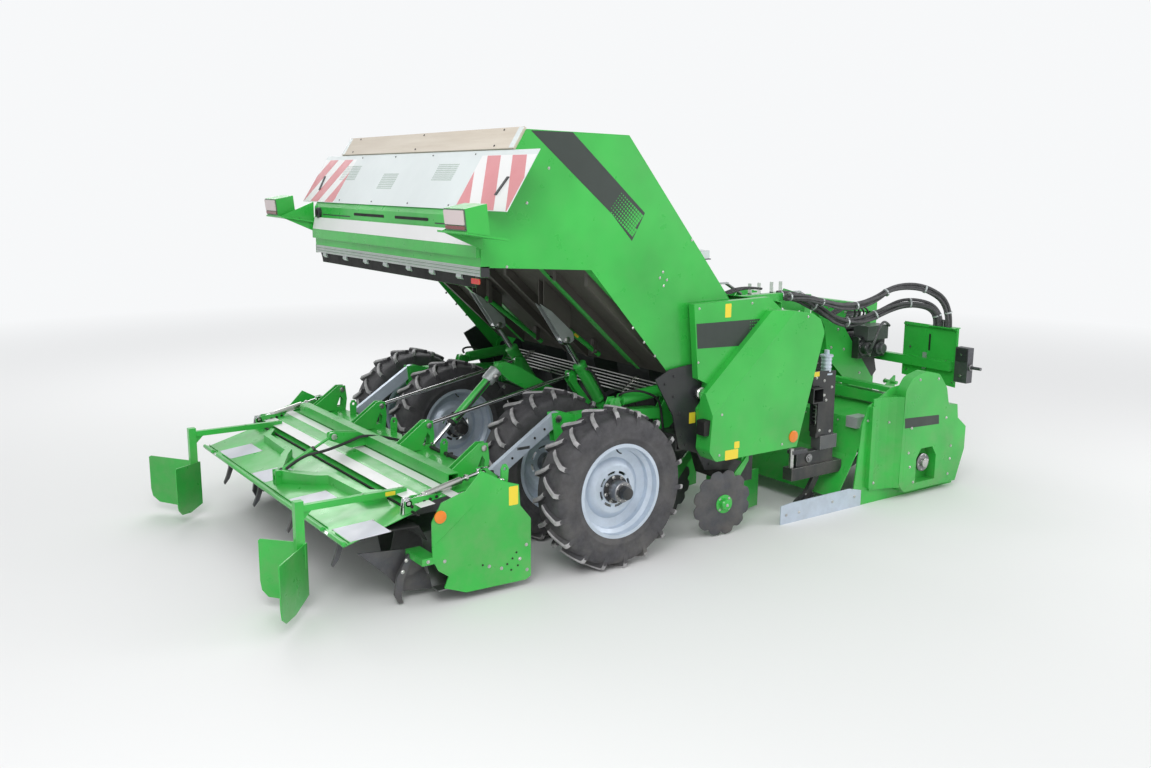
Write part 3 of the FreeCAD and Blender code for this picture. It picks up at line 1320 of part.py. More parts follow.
def ridger_brackets():
    """Lugs on the ridger's front tube for the lift arms, top links and lift cylinder."""
    face = size.ridger_front_x + size.ridger_beam / 2
    back = size.ridger_front_x - size.ridger_beam / 2
    top = size.ridger_front_top
    sheet_top = top + size.thin
    rear_face = size.ridger_rear_x + size.ridger_beam / 2
    arm = (size.arm_tail_x, size.arm_tail_z)
    arm_outline = [(face, top - 75), (face, top - 5), (arm[0] + 30, arm[1] + 34), (arm[0] + 34, arm[1] - 30),
                   (arm[0] - 10, arm[1] - 40)]
    link = (size.link_tail_x, size.link_tail_z)
    link_outline = [(back, sheet_top), (face, sheet_top), (face + 14, top + 100),
                    (link[0] + 32, link[1] + 30),
                    (link[0] - 30, link[1] + 34), (rear_face, top + 70), (rear_face, top + 12)]
    window = [(back, top + 40), (face - 26, top + 40), (face - 20, top + 98), (link[0] - 12, link[1] - 50)]
    lift = (size.lift_tail_x, size.lift_tail_z)
    lift_outline = [(face, top - 75), (face, top - 5), (lift[0] - 20, lift[1] + 34),
                    (lift[0] + 24, lift[1] + 30),
                    (lift[0] + 32, lift[1] - 14), (lift[0], lift[1] - 40)]
    made = []
    for name, outline, point, y, width, radius, windows in (
            ("ArmTail", arm_outline, arm, -size.arm_y, size.arm_width, size.arm_pin, []),
            ("LinkTail", link_outline, link, -size.link_y, size.link_width, size.link_pin, [window]),
            ("SpareTail", link_outline, link, -size.spare_y, size.link_width, size.link_pin, [window]),
            ("LiftTail", lift_outline, lift, -size.lift_y, size.lift_width, size.lift_pin, [])):
        gap = width + size.side_play * 2
        lug = fuse(name, *pair(f"{name}Cheek", outline, y, gap, size.plate, cuts=windows),
                   pin_through(f"{name}Pin", radius, point, y, gap, size.plate))
        made += [lug] if name == "LiftTail" else [lug, mirror(lug)]
    eye_x = size.ridger_front_x + 20
    eye_z = top + 95
    for number, (y, base) in enumerate(((-1460, top), (-640, sheet_top), (170, sheet_top), (940, sheet_top))):
        plate = pad(f"LiftEye{number}", [(eye_x - 28, base), (eye_x + 20, base),
                                         (eye_x + 28, eye_z),
                                         (eye_x + 12, eye_z + 30), (eye_x - 12, eye_z + 30),
                                         (eye_x - 28, eye_z)],
                    y - 6, y + 6, circles=[(eye_x, eye_z, 12)])
        made.append(plate)
    node("ridger_brackets", *made, press_post())


def ridger_links():
    """Lift arms, top links and lift cylinder between the machine and the ridger."""
    y = -size.arm_y
    head = (size.arm_head_x, size.arm_head_z)
    tail = (size.arm_tail_x, size.arm_tail_z)
    half = size.arm_width / 2
    ends = [shaft(f"ArmEnd{number}", size.arm_depth / 2, *point, y - half, y + half)
            for number, point in enumerate((head, tail))]
    body = fuse("ArmBody", bar("ArmBar", head, tail, y, size.arm_depth, size.arm_width), *ends)
    arm = drilled("LiftArm", body, size.arm_pin + size.fit, [head, tail], y, size.arm_width)
    node("lift_arms", arm, mirror(arm))
    y = -size.link_y
    head = (size.link_head_x, size.link_head_z)
    tail = (size.link_tail_x, size.link_tail_z)
    half = size.link_width / 2
    ends = [shaft(f"LinkEnd{number}", 28, *point, y - half, y + half) for number,
            point in enumerate((head, tail))]
    body = fuse("LinkBody", rod("LinkRod", size.link_radius, head, tail, y), *ends)
    link = drilled("LinkFront", body, size.link_pin + size.fit, [head], y, size.link_width)
    link = drilled("LinkRear", link, size.link_pin + size.link_drift, [tail], y, size.link_width)
    node("top_links", link, mirror(link))
    y = -size.lift_y
    head = (size.lift_head_x, size.lift_head_z)
    tail = (size.lift_tail_x, size.lift_tail_z)
    half = size.lift_width / 2
    length = span(head[0] - tail[0], head[1] - tail[1])
    outer = rod("LiftBarrel", size.lift_radius, along(head, tail, 58), along(head, tail, size.lift_barrel), y)
    neck = rod("LiftNeck", size.lift_rod, along(head, tail, 20), along(head, tail, 66), y)
    eye = shaft("LiftHeadEye", size.lift_eye, *head, y - half, y + half)
    bore = rod("LiftBore", size.lift_rod + size.fit, along(head, tail, 68),
               along(head, tail, size.lift_barrel + 5), y)
    body = cut("LiftBored", fuse("LiftBarrelBody", outer, neck, eye), bore)
    node("lift_barrel", drilled("LiftOuter", body, size.lift_pin + size.fit, [head], y, size.lift_width))
    inner = rod("LiftRod", size.lift_rod, along(head, tail, size.lift_barrel - 220),
                along(head, tail, length - 20), y)
    body = fuse("LiftRodBody", inner, shaft("LiftTailEye", size.lift_eye, *tail, y - half, y + half))
    node("lift_rod", drilled("LiftInner", body, size.lift_pin + size.lift_drift, [tail], y, size.lift_width))


def ridger():
    """Ridging hood behind the wheels."""
    side = ridger_side()
    node("ridger_sides", side, mirror(side))
    inner = size.ridger_half - size.plate
    beam = size.ridger_beam
    front = size.ridger_front_x
    top = size.ridger_front_top
    hood_half = inner - 110
    hood_path = [(-1893, 473), (-1450, 600), (-1300, 665), (front - beam / 2 - 5, top + size.thin),
                 (front + beam / 2, top + size.thin)]
    hood = sheet("RidgerHood", hood_path, size.thin, -hood_half, hood_half)
    edge = size.rail_edge
    rails = [shaft(f"FlapRail{number}", edge, -1893 + reach, 473 + edge + lift, low, high)
             for number, (reach, lift, low, high) in enumerate((
                 (4, 0, -hood_half, -size.marker_y - 60), (4, 0, -size.marker_y + 60, size.marker_y - 60),
                 (4, 0, size.marker_y + 60, hood_half)))]
    node("ridger_hood", fuse("RidgerHoodRailed", hood, *rails))
    rear_edge = size.ridger_rear_x + beam / 2
    rise = (top + size.thin - 665) / (front - beam / 2 - 5 + 1300)
    foot = 665 + (rear_edge + 1300) * rise + size.seat
    rear_half = inner - 230
    node("ridger_beams", tube("RidgerFront", front, top - beam / 2, beam, beam, 6, -inner, inner),
         tube("RidgerRear", size.ridger_rear_x, foot + beam / 2, beam, beam, 6, -rear_half, rear_half))
    wave = [(-inner, 110)]
    half = size.row_pitch / 2
    for row in ROWS:
        y = size.row_pitch * row
        wave += [(y - half + 60, 110), (y - 170, 420), (y + 170, 420), (y + half - 60, 110)]
    wave.append((inner, 110))
    under = [(y, z - size.thin) for y, z in wave]
    node("ridge_former", pad("RidgeFormer", wave + under[::-1], -1330, -720, "YZ"))
    ridger_brackets()
    ridger_links()
    press_frame()
    turnbuckles()
    ridger_tines()
    marker_arms()


def on_flap(x):
    """Height of the rear flap's upper face at x."""
    return 473 + (dim(x) + 1893) * 127 / 443


def press_frame():
    """Slim cylinder and forked frame that load the rear flap."""
    half = size.link_width / 2
    tip = (size.press_x, size.press_z)
    eye = (size.post_x, size.post_z)
    lower = rod("PressBarrel", size.press_radius, along(tip, eye, 24), along(tip, eye, 300), 0)
    upper = rod("PressRod", size.press_radius - 7, along(tip, eye, 290), along(eye, tip, 24), 0)
    eyes = [shaft(f"PressEye{number}", 27, *point, -half, half) for number, point in enumerate((tip, eye))]
    cylinder = fuse("PressCylinder", lower, upper, *eyes)
    near = half + size.seat
    cap = near + 16
    x = tip[0]
    plan = [(x - 26, near), (x + 40, near), (-1600, 300), (-1535, 390), (-1520, 900), (-1430, 1040),
            (-1455, 1080),
            (-1560, 950), (-1580, 420), (-1640, 340), (x + 10, cap), (x - 26, cap)]
    envelope = pad("PressEnvelope", [(x - 30, on_flap(x - 30) + size.seat), (-1450, 600 + size.seat),
                                     (-1450, 650), (x + 60, tip[1] + 26), (x - 30, tip[1] + 26)],
                   -1100, 1100)
    arms = pad("PressArm", plan, 480, 700, "XY")
    common = doc.addObject("Part::MultiCommon", "PressArmTrimmed")
    common.Shapes = [arms, envelope]
    head = shaft("PressTipHead", size.link_pin, *tip, cap, cap + 10)
    fork = fuse("PressFork", common, head)
    bridge = box("PressBridge", (x - 26, x - 4), (-cap, cap), (on_flap(x - 4) + size.seat + 1,
                                                               on_flap(x) + 22))
    node("press_frame", cylinder, fuse("PressFrame", fork, mirror(fork), bridge))


def press_post():
    """Gusset plates on the ridger's rear tube that hold the press cylinder's upper eye."""
    rear = size.ridger_rear_x - size.ridger_beam / 2
    eye = (size.post_x, size.post_z)
    outline = [(rear, 695), (rear, 765), (rear - 60, 800), (eye[0] + 10, eye[1] + 32),
               (eye[0] - 28, eye[1] + 24),
               (eye[0] - 28, eye[1] - 26), (eye[0] + 60, eye[1] - 66), (eye[0] + 130, 690)]
    gap = size.link_width + size.seat * 2
    plates = pair("PressPost", outline, dim(0), gap, size.plate)
    caps = pin_caps("PressPostCap", eye, dim(0), gap + size.plate * 2)
    tie = box("PressTie", (rear - 60, rear - 20), (-gap / 2, gap / 2), (705, 760))
    return fuse("PressPostBody", *plates, *caps, tie)


def turnbuckles():
    """Threaded rods with lugs that set the rear flap against the front tube."""
    made = []
    for number, side in enumerate((-1, 1)):
        y = dim(1380 * side)
        rear = (-1460, 662)
        front = (-940, 775)
        spindle = rod(f"TurnRod{number}", size.screw_radius, rear, front, y)
        sleeve = rod(f"TurnSleeve{number}", size.screw_radius + 6, along(rear, front, 120),
                     along(rear, front, 380), y)
        rear_lug = [(-1500, on_flap(-1500) + size.seat), (-1450, 600 + size.seat), (-1425, 612 + size.seat),
                    (-1435, rear[1] + 28), (-1485, rear[1] + 28)]
        front_lug = [(-870, 709 + size.seat), (-800, 709 + size.seat), (-910, front[1] + 28),
                     (front[0] - 22, front[1] + 20), (front[0] - 22, front[1] - 20)]
        lugs = pair(f"TurnRear{number}", rear_lug, y, dim(20), dim(8))
        lugs += pair(f"TurnFront{number}", front_lug, y, dim(20), dim(8))
        eyes = [shaft(f"TurnEye{number}{end}", 22, *point, y - 30, y + 30) for end,
                point in enumerate((rear, front))]
        made.append(fuse(f"Turnbuckle{number}", spindle, sleeve, *lugs, *eyes))
    node("turnbuckles", *made)


def ridger_tines():
    """Curved tines under the rear flap and a bolted one behind each side plate."""
    thick = size.tine_thick / 2
    made = []
    under = size.thin * 1.05 + size.seat
    for number, y in enumerate((-1220, -450, 240, 930)):
        tine = pad(f"FlapTine{number}", [(-1850, on_flap(-1850) - under), (-1820, on_flap(-1820) - under),
                                         (-1822, 400), (-1850, 330), (-1888, 285),
                                         (-1893, 300), (-1872, 350), (-1852, 410)], dim(y) - thick,
                                         dim(y) + thick)
        made.append(tine)
    y = -size.ridger_half + 185
    shank = pad("SideTine", [(-1450, 320), (-1410, 310), (-1480, 170), (-1500, 60), (-1490, 10), (-1520, 16),
                             (-1545, 70), (-1525, 190)], y - thick, y + thick)
    holder = pad("TineHolder", [(-1332, 210), (-1420, 170), (-1460, 190), (-1460, 270), (-1350, 330),
                                (-1332, 330)], y + thick, y + thick + 16)
    carrier = box("TineCarrier", (-1350, -1332), (-size.ridger_half + size.plate, y + thick + 16), (285, 330))
    side = fuse("SideTineBody", shank, holder, carrier)
    node("ridger_tines", *made, side, mirror(side))


def marker_arms():
    """Arms over the rear flap, each with a post and a V-shaped paddle."""
    y = -size.marker_y
    half = size.marker_width / 2
    low = 600 + 100 * 65 / 150 + size.seat
    arm = box("MarkerArm", (-2120, -1350), (y - half, y + half), (low, low + 40))
    post = box("MarkerPost", (-2120, -2070), (y - half, y + half), (350, low + 40))
    near = pad("MarkerNear", [(-2170, 340), (-2010, 420), (-2010, 120), (-2170, 66)], y + half, y + half + 8)
    far = pad("MarkerFar", [(-2310, 490), (-2170, 340), (-2170, 66), (-2290, 230)], y + half, y + half + 8)
    marker = fuse("Marker", arm, post, near, far)
    node("marker_arms", marker, mirror(marker))


def build():
    wheels()
    carrier = wheel_carrier()
    node("wheel_carriers", carrier, mirror(carrier))
    links = carrier_links()
    node("carrier_links", *links, *[mirror(link) for link in links])
    side = frame_plate()
    node("frame_plates", side, mirror(side))
    node("main_frame", main_frame())
    brackets = [carrier_bracket(), ram_bracket(), link_bracket()]
    node("frame_brackets", *brackets, *[mirror(bracket) for bracket in brackets], lift_boom())
    hopper()
    hopper_rear_fittings()
    hopper_under()
    rams()
    cover = side_cover()
    node("side_covers", cover, mirror(cover), front_wall())
    planting_units()
    discs()
    grille()
    tiller()
    headstock()
    hitch_shields()
    hoses()
    row_looseners()
    ridger()


build()
doc.recompute()
os.makedirs("parts", exist_ok=True)
for item in doc.Objects:
    if "Invalid" in item.State or "Error" in item.State:
        raise RuntimeError(f"{item.Label} did not compute: {item.State}")
for item in NODES:
    shape = item.Shape
    if shape.isNull() or not shape.isValid() or not shape.Solids:
        raise RuntimeError(f"{item.Label} has no valid solid")
for item in NODES:
    item.Shape.exportStep(f"parts/{item.Label}.step")
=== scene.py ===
"""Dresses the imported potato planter: camera, light, materials and the small parts on its frame."""
import json
import math
import bmesh
import bpy
from mathutils import Matrix, Vector


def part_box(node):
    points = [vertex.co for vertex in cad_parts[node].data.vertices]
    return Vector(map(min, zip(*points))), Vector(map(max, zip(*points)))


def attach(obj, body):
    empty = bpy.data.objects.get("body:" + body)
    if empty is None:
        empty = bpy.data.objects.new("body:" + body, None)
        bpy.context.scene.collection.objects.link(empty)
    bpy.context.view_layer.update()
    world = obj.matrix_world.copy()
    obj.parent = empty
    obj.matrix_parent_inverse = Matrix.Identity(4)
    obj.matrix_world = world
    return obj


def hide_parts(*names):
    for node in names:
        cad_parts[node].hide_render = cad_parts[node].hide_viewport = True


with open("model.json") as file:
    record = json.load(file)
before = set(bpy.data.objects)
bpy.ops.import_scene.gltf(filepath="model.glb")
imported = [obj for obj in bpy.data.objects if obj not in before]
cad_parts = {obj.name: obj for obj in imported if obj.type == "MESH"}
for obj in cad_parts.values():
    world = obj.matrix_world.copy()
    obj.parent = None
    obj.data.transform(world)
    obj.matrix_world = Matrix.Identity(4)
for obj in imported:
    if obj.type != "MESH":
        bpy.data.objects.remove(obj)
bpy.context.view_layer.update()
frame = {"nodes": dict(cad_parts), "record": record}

NODES = frame["nodes"]
AXLE = sum(corner.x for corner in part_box("tyre_outer_right")) / 2


def at(x, y, z):
    """A point given in millimetres from the wheel axle on the ground."""
    return Vector((AXLE + x / 1000, y / 1000, z / 1000))


# ---------------------------------------------------------------- camera, light and floor
def make_camera():
    data = bpy.data.cameras.new("camera")
    data.lens = 33.18
    camera = bpy.data.objects.new("camera", data)
    bpy.context.scene.collection.objects.link(camera)
    yaw, pitch, roll = (math.radians(angle) for angle in (34.873, 10.8636, 0.356))
    ahead = Vector((math.sin(yaw) * math.cos(pitch), math.cos(yaw) * math.cos(pitch), -math.sin(pitch)))
    right = ahead.cross(Vector((0, 0, 1))).normalized()
    up = right.cross(ahead)
    level = math.cos(roll) * right + math.sin(roll) * up
    upright = -math.sin(roll) * right + math.cos(roll) * up
    turn = Matrix((level, upright, -ahead)).transposed()
    camera.matrix_world = Matrix.Translation(at(-4181.6, -7083.6, 2603.5)) @ turn.to_4x4()
    bpy.context.scene.camera = camera


def area_light(name, place, target, size, power):
    data = bpy.data.lights.new(name, "AREA")
    data.size = size
    data.energy = power
    light = bpy.data.objects.new(name, data)
    bpy.context.scene.collection.objects.link(light)
    light.location = place
    light.rotation_euler = (Vector(target) - Vector(place)).to_track_quat("-Z", "Y").to_euler()


def make_studio():
    area_light("key", (-5.5, -6.5, 6.5), (0, 0, 0.8), 4.0, 330)
    area_light("fill", (6.5, -6.0, 4.0), (0.5, 0, 0.8), 4.0, 160)
    area_light("back", (0.0, 7.5, 6.5), (0, 0, 1.0), 5.0, 240)
    pale = (0.93, 0.94, 0.95, 1)
    world = bpy.data.worlds.new("world")
    bpy.context.scene.world = world
    world.use_nodes = True
    tree = world.node_tree
    shade = tree.nodes["Background"]
    shade.inputs["Color"].default_value = pale
    shade.inputs["Strength"].default_value = 0.8
    bright = tree.nodes.new("ShaderNodeBackground")
    bright.inputs["Color"].default_value = pale
    bright.inputs["Strength"].default_value = 1.0
    path = tree.nodes.new("ShaderNodeLightPath")
    mix = tree.nodes.new("ShaderNodeMixShader")
    tree.links.new(path.outputs["Is Camera Ray"], mix.inputs[0])
    tree.links.new(shade.outputs[0], mix.inputs[1])
    tree.links.new(bright.outputs[0], mix.inputs[2])
    tree.links.new(mix.outputs[0], tree.nodes["World Output"].inputs[0])
    mesh = bpy.data.meshes.new("floor")
    mesh.from_pydata([(-40, -40, 0), (40, -40, 0), (40, 40, 0), (-40, 40, 0)], [], [(0, 1, 2, 3)])
    floor = bpy.data.objects.new("floor", mesh)
    bpy.context.scene.collection.objects.link(floor)
    shader = Shader("floor")
    shader.color((0.80, 0.80, 0.80))
    shader.set(Roughness=0.9)
    away = shader.node("ShaderNodeVectorMath", operation="LENGTH")
    shader.link(shader.local, away.inputs[0])
    rays = shader.node("ShaderNodeLightPath")
    share = shader.math("MULTIPLY", shader.ramp(away.outputs["Value"], 5.5, 15.0), rays.outputs["Is Camera Ray"])
    glow = shader.node("ShaderNodeEmission")
    glow.inputs["Color"].default_value = pale
    blend = shader.node("ShaderNodeMixShader")
    shader.link(share, blend.inputs[0])
    shader.link(shader.surface.outputs[0], blend.inputs[1])
    shader.link(glow.outputs[0], blend.inputs[2])
    shader.link(blend.outputs[0], shader.tree.nodes["Material Output"].inputs["Surface"])
    mesh.materials.append(shader.material)


# ---------------------------------------------------------------- materials
class Shader:
    """A material's node tree, with short calls for the nodes it is made of."""

    def __init__(self, name):
        self.material = bpy.data.materials.new(name)
        self.material.use_nodes = True
        self.tree = self.material.node_tree
        self.surface = self.tree.nodes["Principled BSDF"]
        geometry = self.tree.nodes.new("ShaderNodeNewGeometry")
        self.place = geometry.outputs["Position"]
        self.normal = geometry.outputs["Normal"]
        coords = self.tree.nodes.new("ShaderNodeTexCoord")
        self.local = coords.outputs["Object"]

    def node(self, kind, **settings):
        made = self.tree.nodes.new(kind)
        for key, value in settings.items():
            setattr(made, key, value)
        return made

    def link(self, source, target):
        self.tree.links.new(source, target)

    def noise(self, scale, detail=4.0, rough=0.55, stretch=None):
        made = self.node("ShaderNodeTexNoise")
        made.inputs["Scale"].default_value = scale
        made.inputs["Detail"].default_value = detail
        made.inputs["Roughness"].default_value = rough
        source = self.local
        if stretch:
            mapping = self.node("ShaderNodeMapping")
            mapping.inputs["Scale"].default_value = stretch
            self.link(self.local, mapping.inputs["Vector"])
            source = mapping.outputs["Vector"]
        self.link(source, made.inputs["Vector"])
        return made.outputs["Fac"]

    def ramp(self, source, low, high, first=0.0, last=1.0):
        made = self.node("ShaderNodeMapRange")
        made.clamp = True
        for name, value in (("From Min", low), ("From Max", high), ("To Min", first), ("To Max", last)):
            made.inputs[name].default_value = value
        self.link(source, made.inputs["Value"])
        return made.outputs["Result"]

    def math(self, operation, first, second=None):
        made = self.node("ShaderNodeMath", operation=operation)
        for index, value in enumerate((first, second)):
            if value is None:
                continue
            if isinstance(value, (int, float)):
                made.inputs[index].default_value = value
            else:
                self.link(value, made.inputs[index])
        return made.outputs[0]

    def mix(self, share, first, second):
        made = self.node("ShaderNodeMix", data_type="RGBA")
        for index, value in ((6, first), (7, second)):
            if isinstance(value, tuple):
                made.inputs[index].default_value = (*value, 1)
            else:
                self.link(value, made.inputs[index])
        if isinstance(share, (int, float)):
            made.inputs[0].default_value = share
        else:
            self.link(share, made.inputs[0])
        return made.outputs[2]

    def axis(self, name):
        split = self.node("ShaderNodeSeparateXYZ")
        self.link(self.local, split.inputs[0])
        return split.outputs[name]

    def color(self, source):
        if isinstance(source, tuple):
            self.surface.inputs["Base Color"].default_value = (*source, 1)
        else:
            self.link(source, self.surface.inputs["Base Color"])

    def set(self, **values):
        for key, value in values.items():
            socket = self.surface.inputs[key.replace("_", " ")]
            if isinstance(value, (int, float)):
                socket.default_value = value
            else:
                self.link(value, socket)

    def bump(self, source, strength, distance):
        made = self.node("ShaderNodeBump")
        made.inputs["Strength"].default_value = strength
        made.inputs["Distance"].default_value = distance
        self.link(source, made.inputs["Height"])
        self.link(made.outputs["Normal"], self.surface.inputs["Normal"])


def dusty(shader, color, dust=(0.30, 0.26, 0.20), amount=0.35):
    """The colour with fine soil dust that thickens towards the ground."""
    height = shader.ramp(shader.axis("Z"), 0.0, 1.1, 1.0, 0.12)
    cloud = shader.ramp(shader.noise(5.0, 6.0, 0.65), 0.42, 0.72)
    share = shader.math("MULTIPLY", shader.math("MULTIPLY", height, cloud), amount)
    return shader.mix(share, color, dust)


def paint(name, color, rough=0.32, tone=0.1, dust=0.3, coat=0.35):
    """Sprayed machine paint: slight tone changes, orange peel and dust."""
    shader = Shader(name)
    darker = tuple(channel * (1 - tone * 2) for channel in color)
    lighter = tuple(min(1.0, channel * (1 + tone)) for channel in color)
    tint = shader.mix(shader.ramp(shader.noise(1.6, 3.0), 0.3, 0.7), darker, lighter)
    shader.color(dusty(shader, tint, amount=dust))
    shader.set(Roughness=shader.ramp(shader.noise(9.0, 5.0), 0.3, 0.75, rough - 0.07, rough + 0.16),
               Coat_Weight=coat, Coat_Roughness=0.12)
    shader.bump(shader.noise(240.0, 2.0), 0.06, 0.0006)
    return shader.material


def metal(name, color, rough, spread=0.15, metallic=1.0, cloud=7.0, dust=0.15):
    """Bare or plated metal with a mottled finish."""
    shader = Shader(name)
    darker = tuple(channel * (1 - spread) for channel in color)
    tint = shader.mix(shader.ramp(shader.noise(cloud, 6.0, 0.7), 0.35, 0.65), darker, color)
    shader.color(dusty(shader, tint, amount=dust))
    shader.set(Metallic=metallic, Roughness=shader.ramp(shader.noise(cloud * 3, 5.0), 0.3, 0.7, rough * 0.8, rough * 1.25))
    shader.bump(shader.noise(160.0, 3.0), 0.08, 0.0005)
    return shader.material


def zinc(name):
    """Hot dip galvanised steel: pale crystals of a few centimetres."""
    shader = Shader(name)
    cells = shader.node("ShaderNodeTexVoronoi")
    cells.inputs["Scale"].default_value = 42.0
    shader.link(shader.local, cells.inputs["Vector"])
    grey = shader.ramp(cells.outputs["Color"], 0.0, 1.0, 0.0, 1.0)
    tint = shader.mix(grey, (0.42, 0.48, 0.55), (0.66, 0.72, 0.78))
    streak = shader.ramp(shader.noise(3.0, 6.0, 0.7, (1, 1, 6)), 0.4, 0.75)
    shader.color(dusty(shader, shader.mix(shader.math("MULTIPLY", streak, 0.35), tint, (0.33, 0.35, 0.38)),
                       amount=0.2))
    shader.set(Metallic=0.55, Roughness=0.42)
    shader.bump(grey, 0.05, 0.0006)
    return shader.material


def rubber(name, color, dust=0.5):
    """Tyre rubber: dark, dull and dusty, lighter on what stands out."""
    shader = Shader(name)
    tint = shader.mix(shader.ramp(shader.noise(14.0, 6.0, 0.7), 0.35, 0.7), color,
                      tuple(channel * 1.9 for channel in color))
    shader.color(dusty(shader, tint, (0.22, 0.21, 0.19), dust))
    shader.set(Roughness=shader.ramp(shader.noise(20.0), 0.3, 0.7, 0.55, 0.8))
    shader.bump(shader.noise(120.0, 5.0), 0.15, 0.0012)
    return shader.material


def wood(name):
    """A pale plain board with long grain."""
    shader = Shader(name)
    grain = shader.ramp(shader.noise(14.0, 8.0, 0.7, (1, 0.06, 1)), 0.3, 0.7)
    shader.color(shader.mix(grain, (0.58, 0.51, 0.42), (0.70, 0.64, 0.55)))
    shader.set(Roughness=0.65)
    shader.bump(grain, 0.1, 0.001)
    return shader.material


MATERIALS = {
    "green": paint("green", (0.032, 0.46, 0.058)),
    "dark": paint("dark", (0.022, 0.024, 0.027), rough=0.42, dust=0.25, coat=0.1),
    "grey": paint("grey", (0.10, 0.105, 0.11), rough=0.4, dust=0.25, coat=0.1),
    "silver": metal("silver", (0.58, 0.66, 0.76), 0.4, metallic=0.35),
    "chrome": metal("chrome", (0.78, 0.79, 0.80), 0.14, 0.05, dust=0.05),
    "steel": metal("steel", (0.32, 0.32, 0.33), 0.42, 0.3),
    "aluminium": metal("aluminium", (0.62, 0.63, 0.64), 0.35, 0.1, dust=0.1),
    "galvanised": zinc("galvanised"),
    "white": paint("white", (0.68, 0.74, 0.74), rough=0.4, tone=0.03, dust=0.15),
    "board": wood("board"),
    "tyre": rubber("tyre", (0.040, 0.039, 0.043)),
    "rubber": rubber("rubber", (0.016, 0.016, 0.017), 0.15),
    "orange": paint("orange", (0.9, 0.24, 0.01), rough=0.2, dust=0.05),
    "red": paint("red", (0.62, 0.02, 0.02), rough=0.3, dust=0.1),
    "decal": paint("decal", (0.030, 0.042, 0.036), rough=0.45, tone=0.05, dust=0.1, coat=0.05),
    "sticker": paint("sticker", (0.85, 0.66, 0.04), rough=0.35, tone=0.03, dust=0.05, coat=0.1),
    "hole": paint("hole", (0.006, 0.006, 0.006), rough=0.7, tone=0.1, dust=0.1, coat=0.0),
    "lug": rubber("lug", (0.26, 0.255, 0.26), 0.5),
    "hose": rubber("hose", (0.055, 0.055, 0.058), 0.3),
    "underside": paint("underside", (0.085, 0.078, 0.068), rough=0.6, dust=0.3, coat=0.05),
    "bolt": metal("bolt", (0.62, 0.62, 0.60), 0.3, 0.15, dust=0.1),
    "pale_steel": metal("pale_steel", (0.52, 0.56, 0.56), 0.4, 0.12, metallic=0.5, dust=0.15),
    "disc": metal("disc", (0.12, 0.122, 0.135), 0.45, 0.3, metallic=0.6, dust=0.3),
    "lavender": paint("lavender", (0.60, 0.60, 0.68), rough=0.4, tone=0.05, dust=0.2, coat=0.1),
    # Pale sheet for white panels and brackets; on the rear beam's sloping face it is a painted sky reflection.
    "reflex": paint("reflex", (0.80, 0.80, 0.80), rough=0.35, tone=0.02, dust=0.1, coat=0.2),
    "red_stripe": paint("red_stripe", (0.66, 0.22, 0.24), rough=0.35, tone=0.04, dust=0.1, coat=0.2),
    "vent": paint("vent", (0.30, 0.40, 0.33), rough=0.5, tone=0.05, dust=0.1, coat=0.05),
    "lens": paint("lens", (0.72, 0.60, 0.60), rough=0.12, tone=0.05, dust=0.05, coat=0.9),
    "lens_red": paint("lens_red", (0.22, 0.01, 0.015), rough=0.12, tone=0.1, dust=0.05, coat=0.9),
    "blue": paint("blue", (0.02, 0.10, 0.45), rough=0.3, dust=0.05),
}
SLOT = {"disc": "steel", "lug": "tyre", "bolt": "steel", "pale_steel": "steel", "hose": "rubber"}
FINISH = {
    "tyre": "tyre", "silver": "silver", "green": "green", "dark": "dark", "galvanised": "galvanised",
    "chrome": "chrome", "steel": "steel", "white": "white", "board": "board", "aluminium": "aluminium",
    "rubber": "rubber",
}


def dress_nodes():
    """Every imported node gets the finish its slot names, or one of its own."""
    own = {"hopper_floor": "underside", "rod_grille": "bolt", "ridger_tines": "disc", "parking_pins": "disc",
           "furrow_openers": "green", "skid_plates": "silver", "lift_arms": "silver", "carrier_links": "green"}
    for entry in frame["record"]["subparts"]:
        mesh = NODES[entry["node"]].data
        mesh.materials.clear()
        mesh.materials.append(MATERIALS[own.get(entry["node"], FINISH[entry["material_slot"]])])



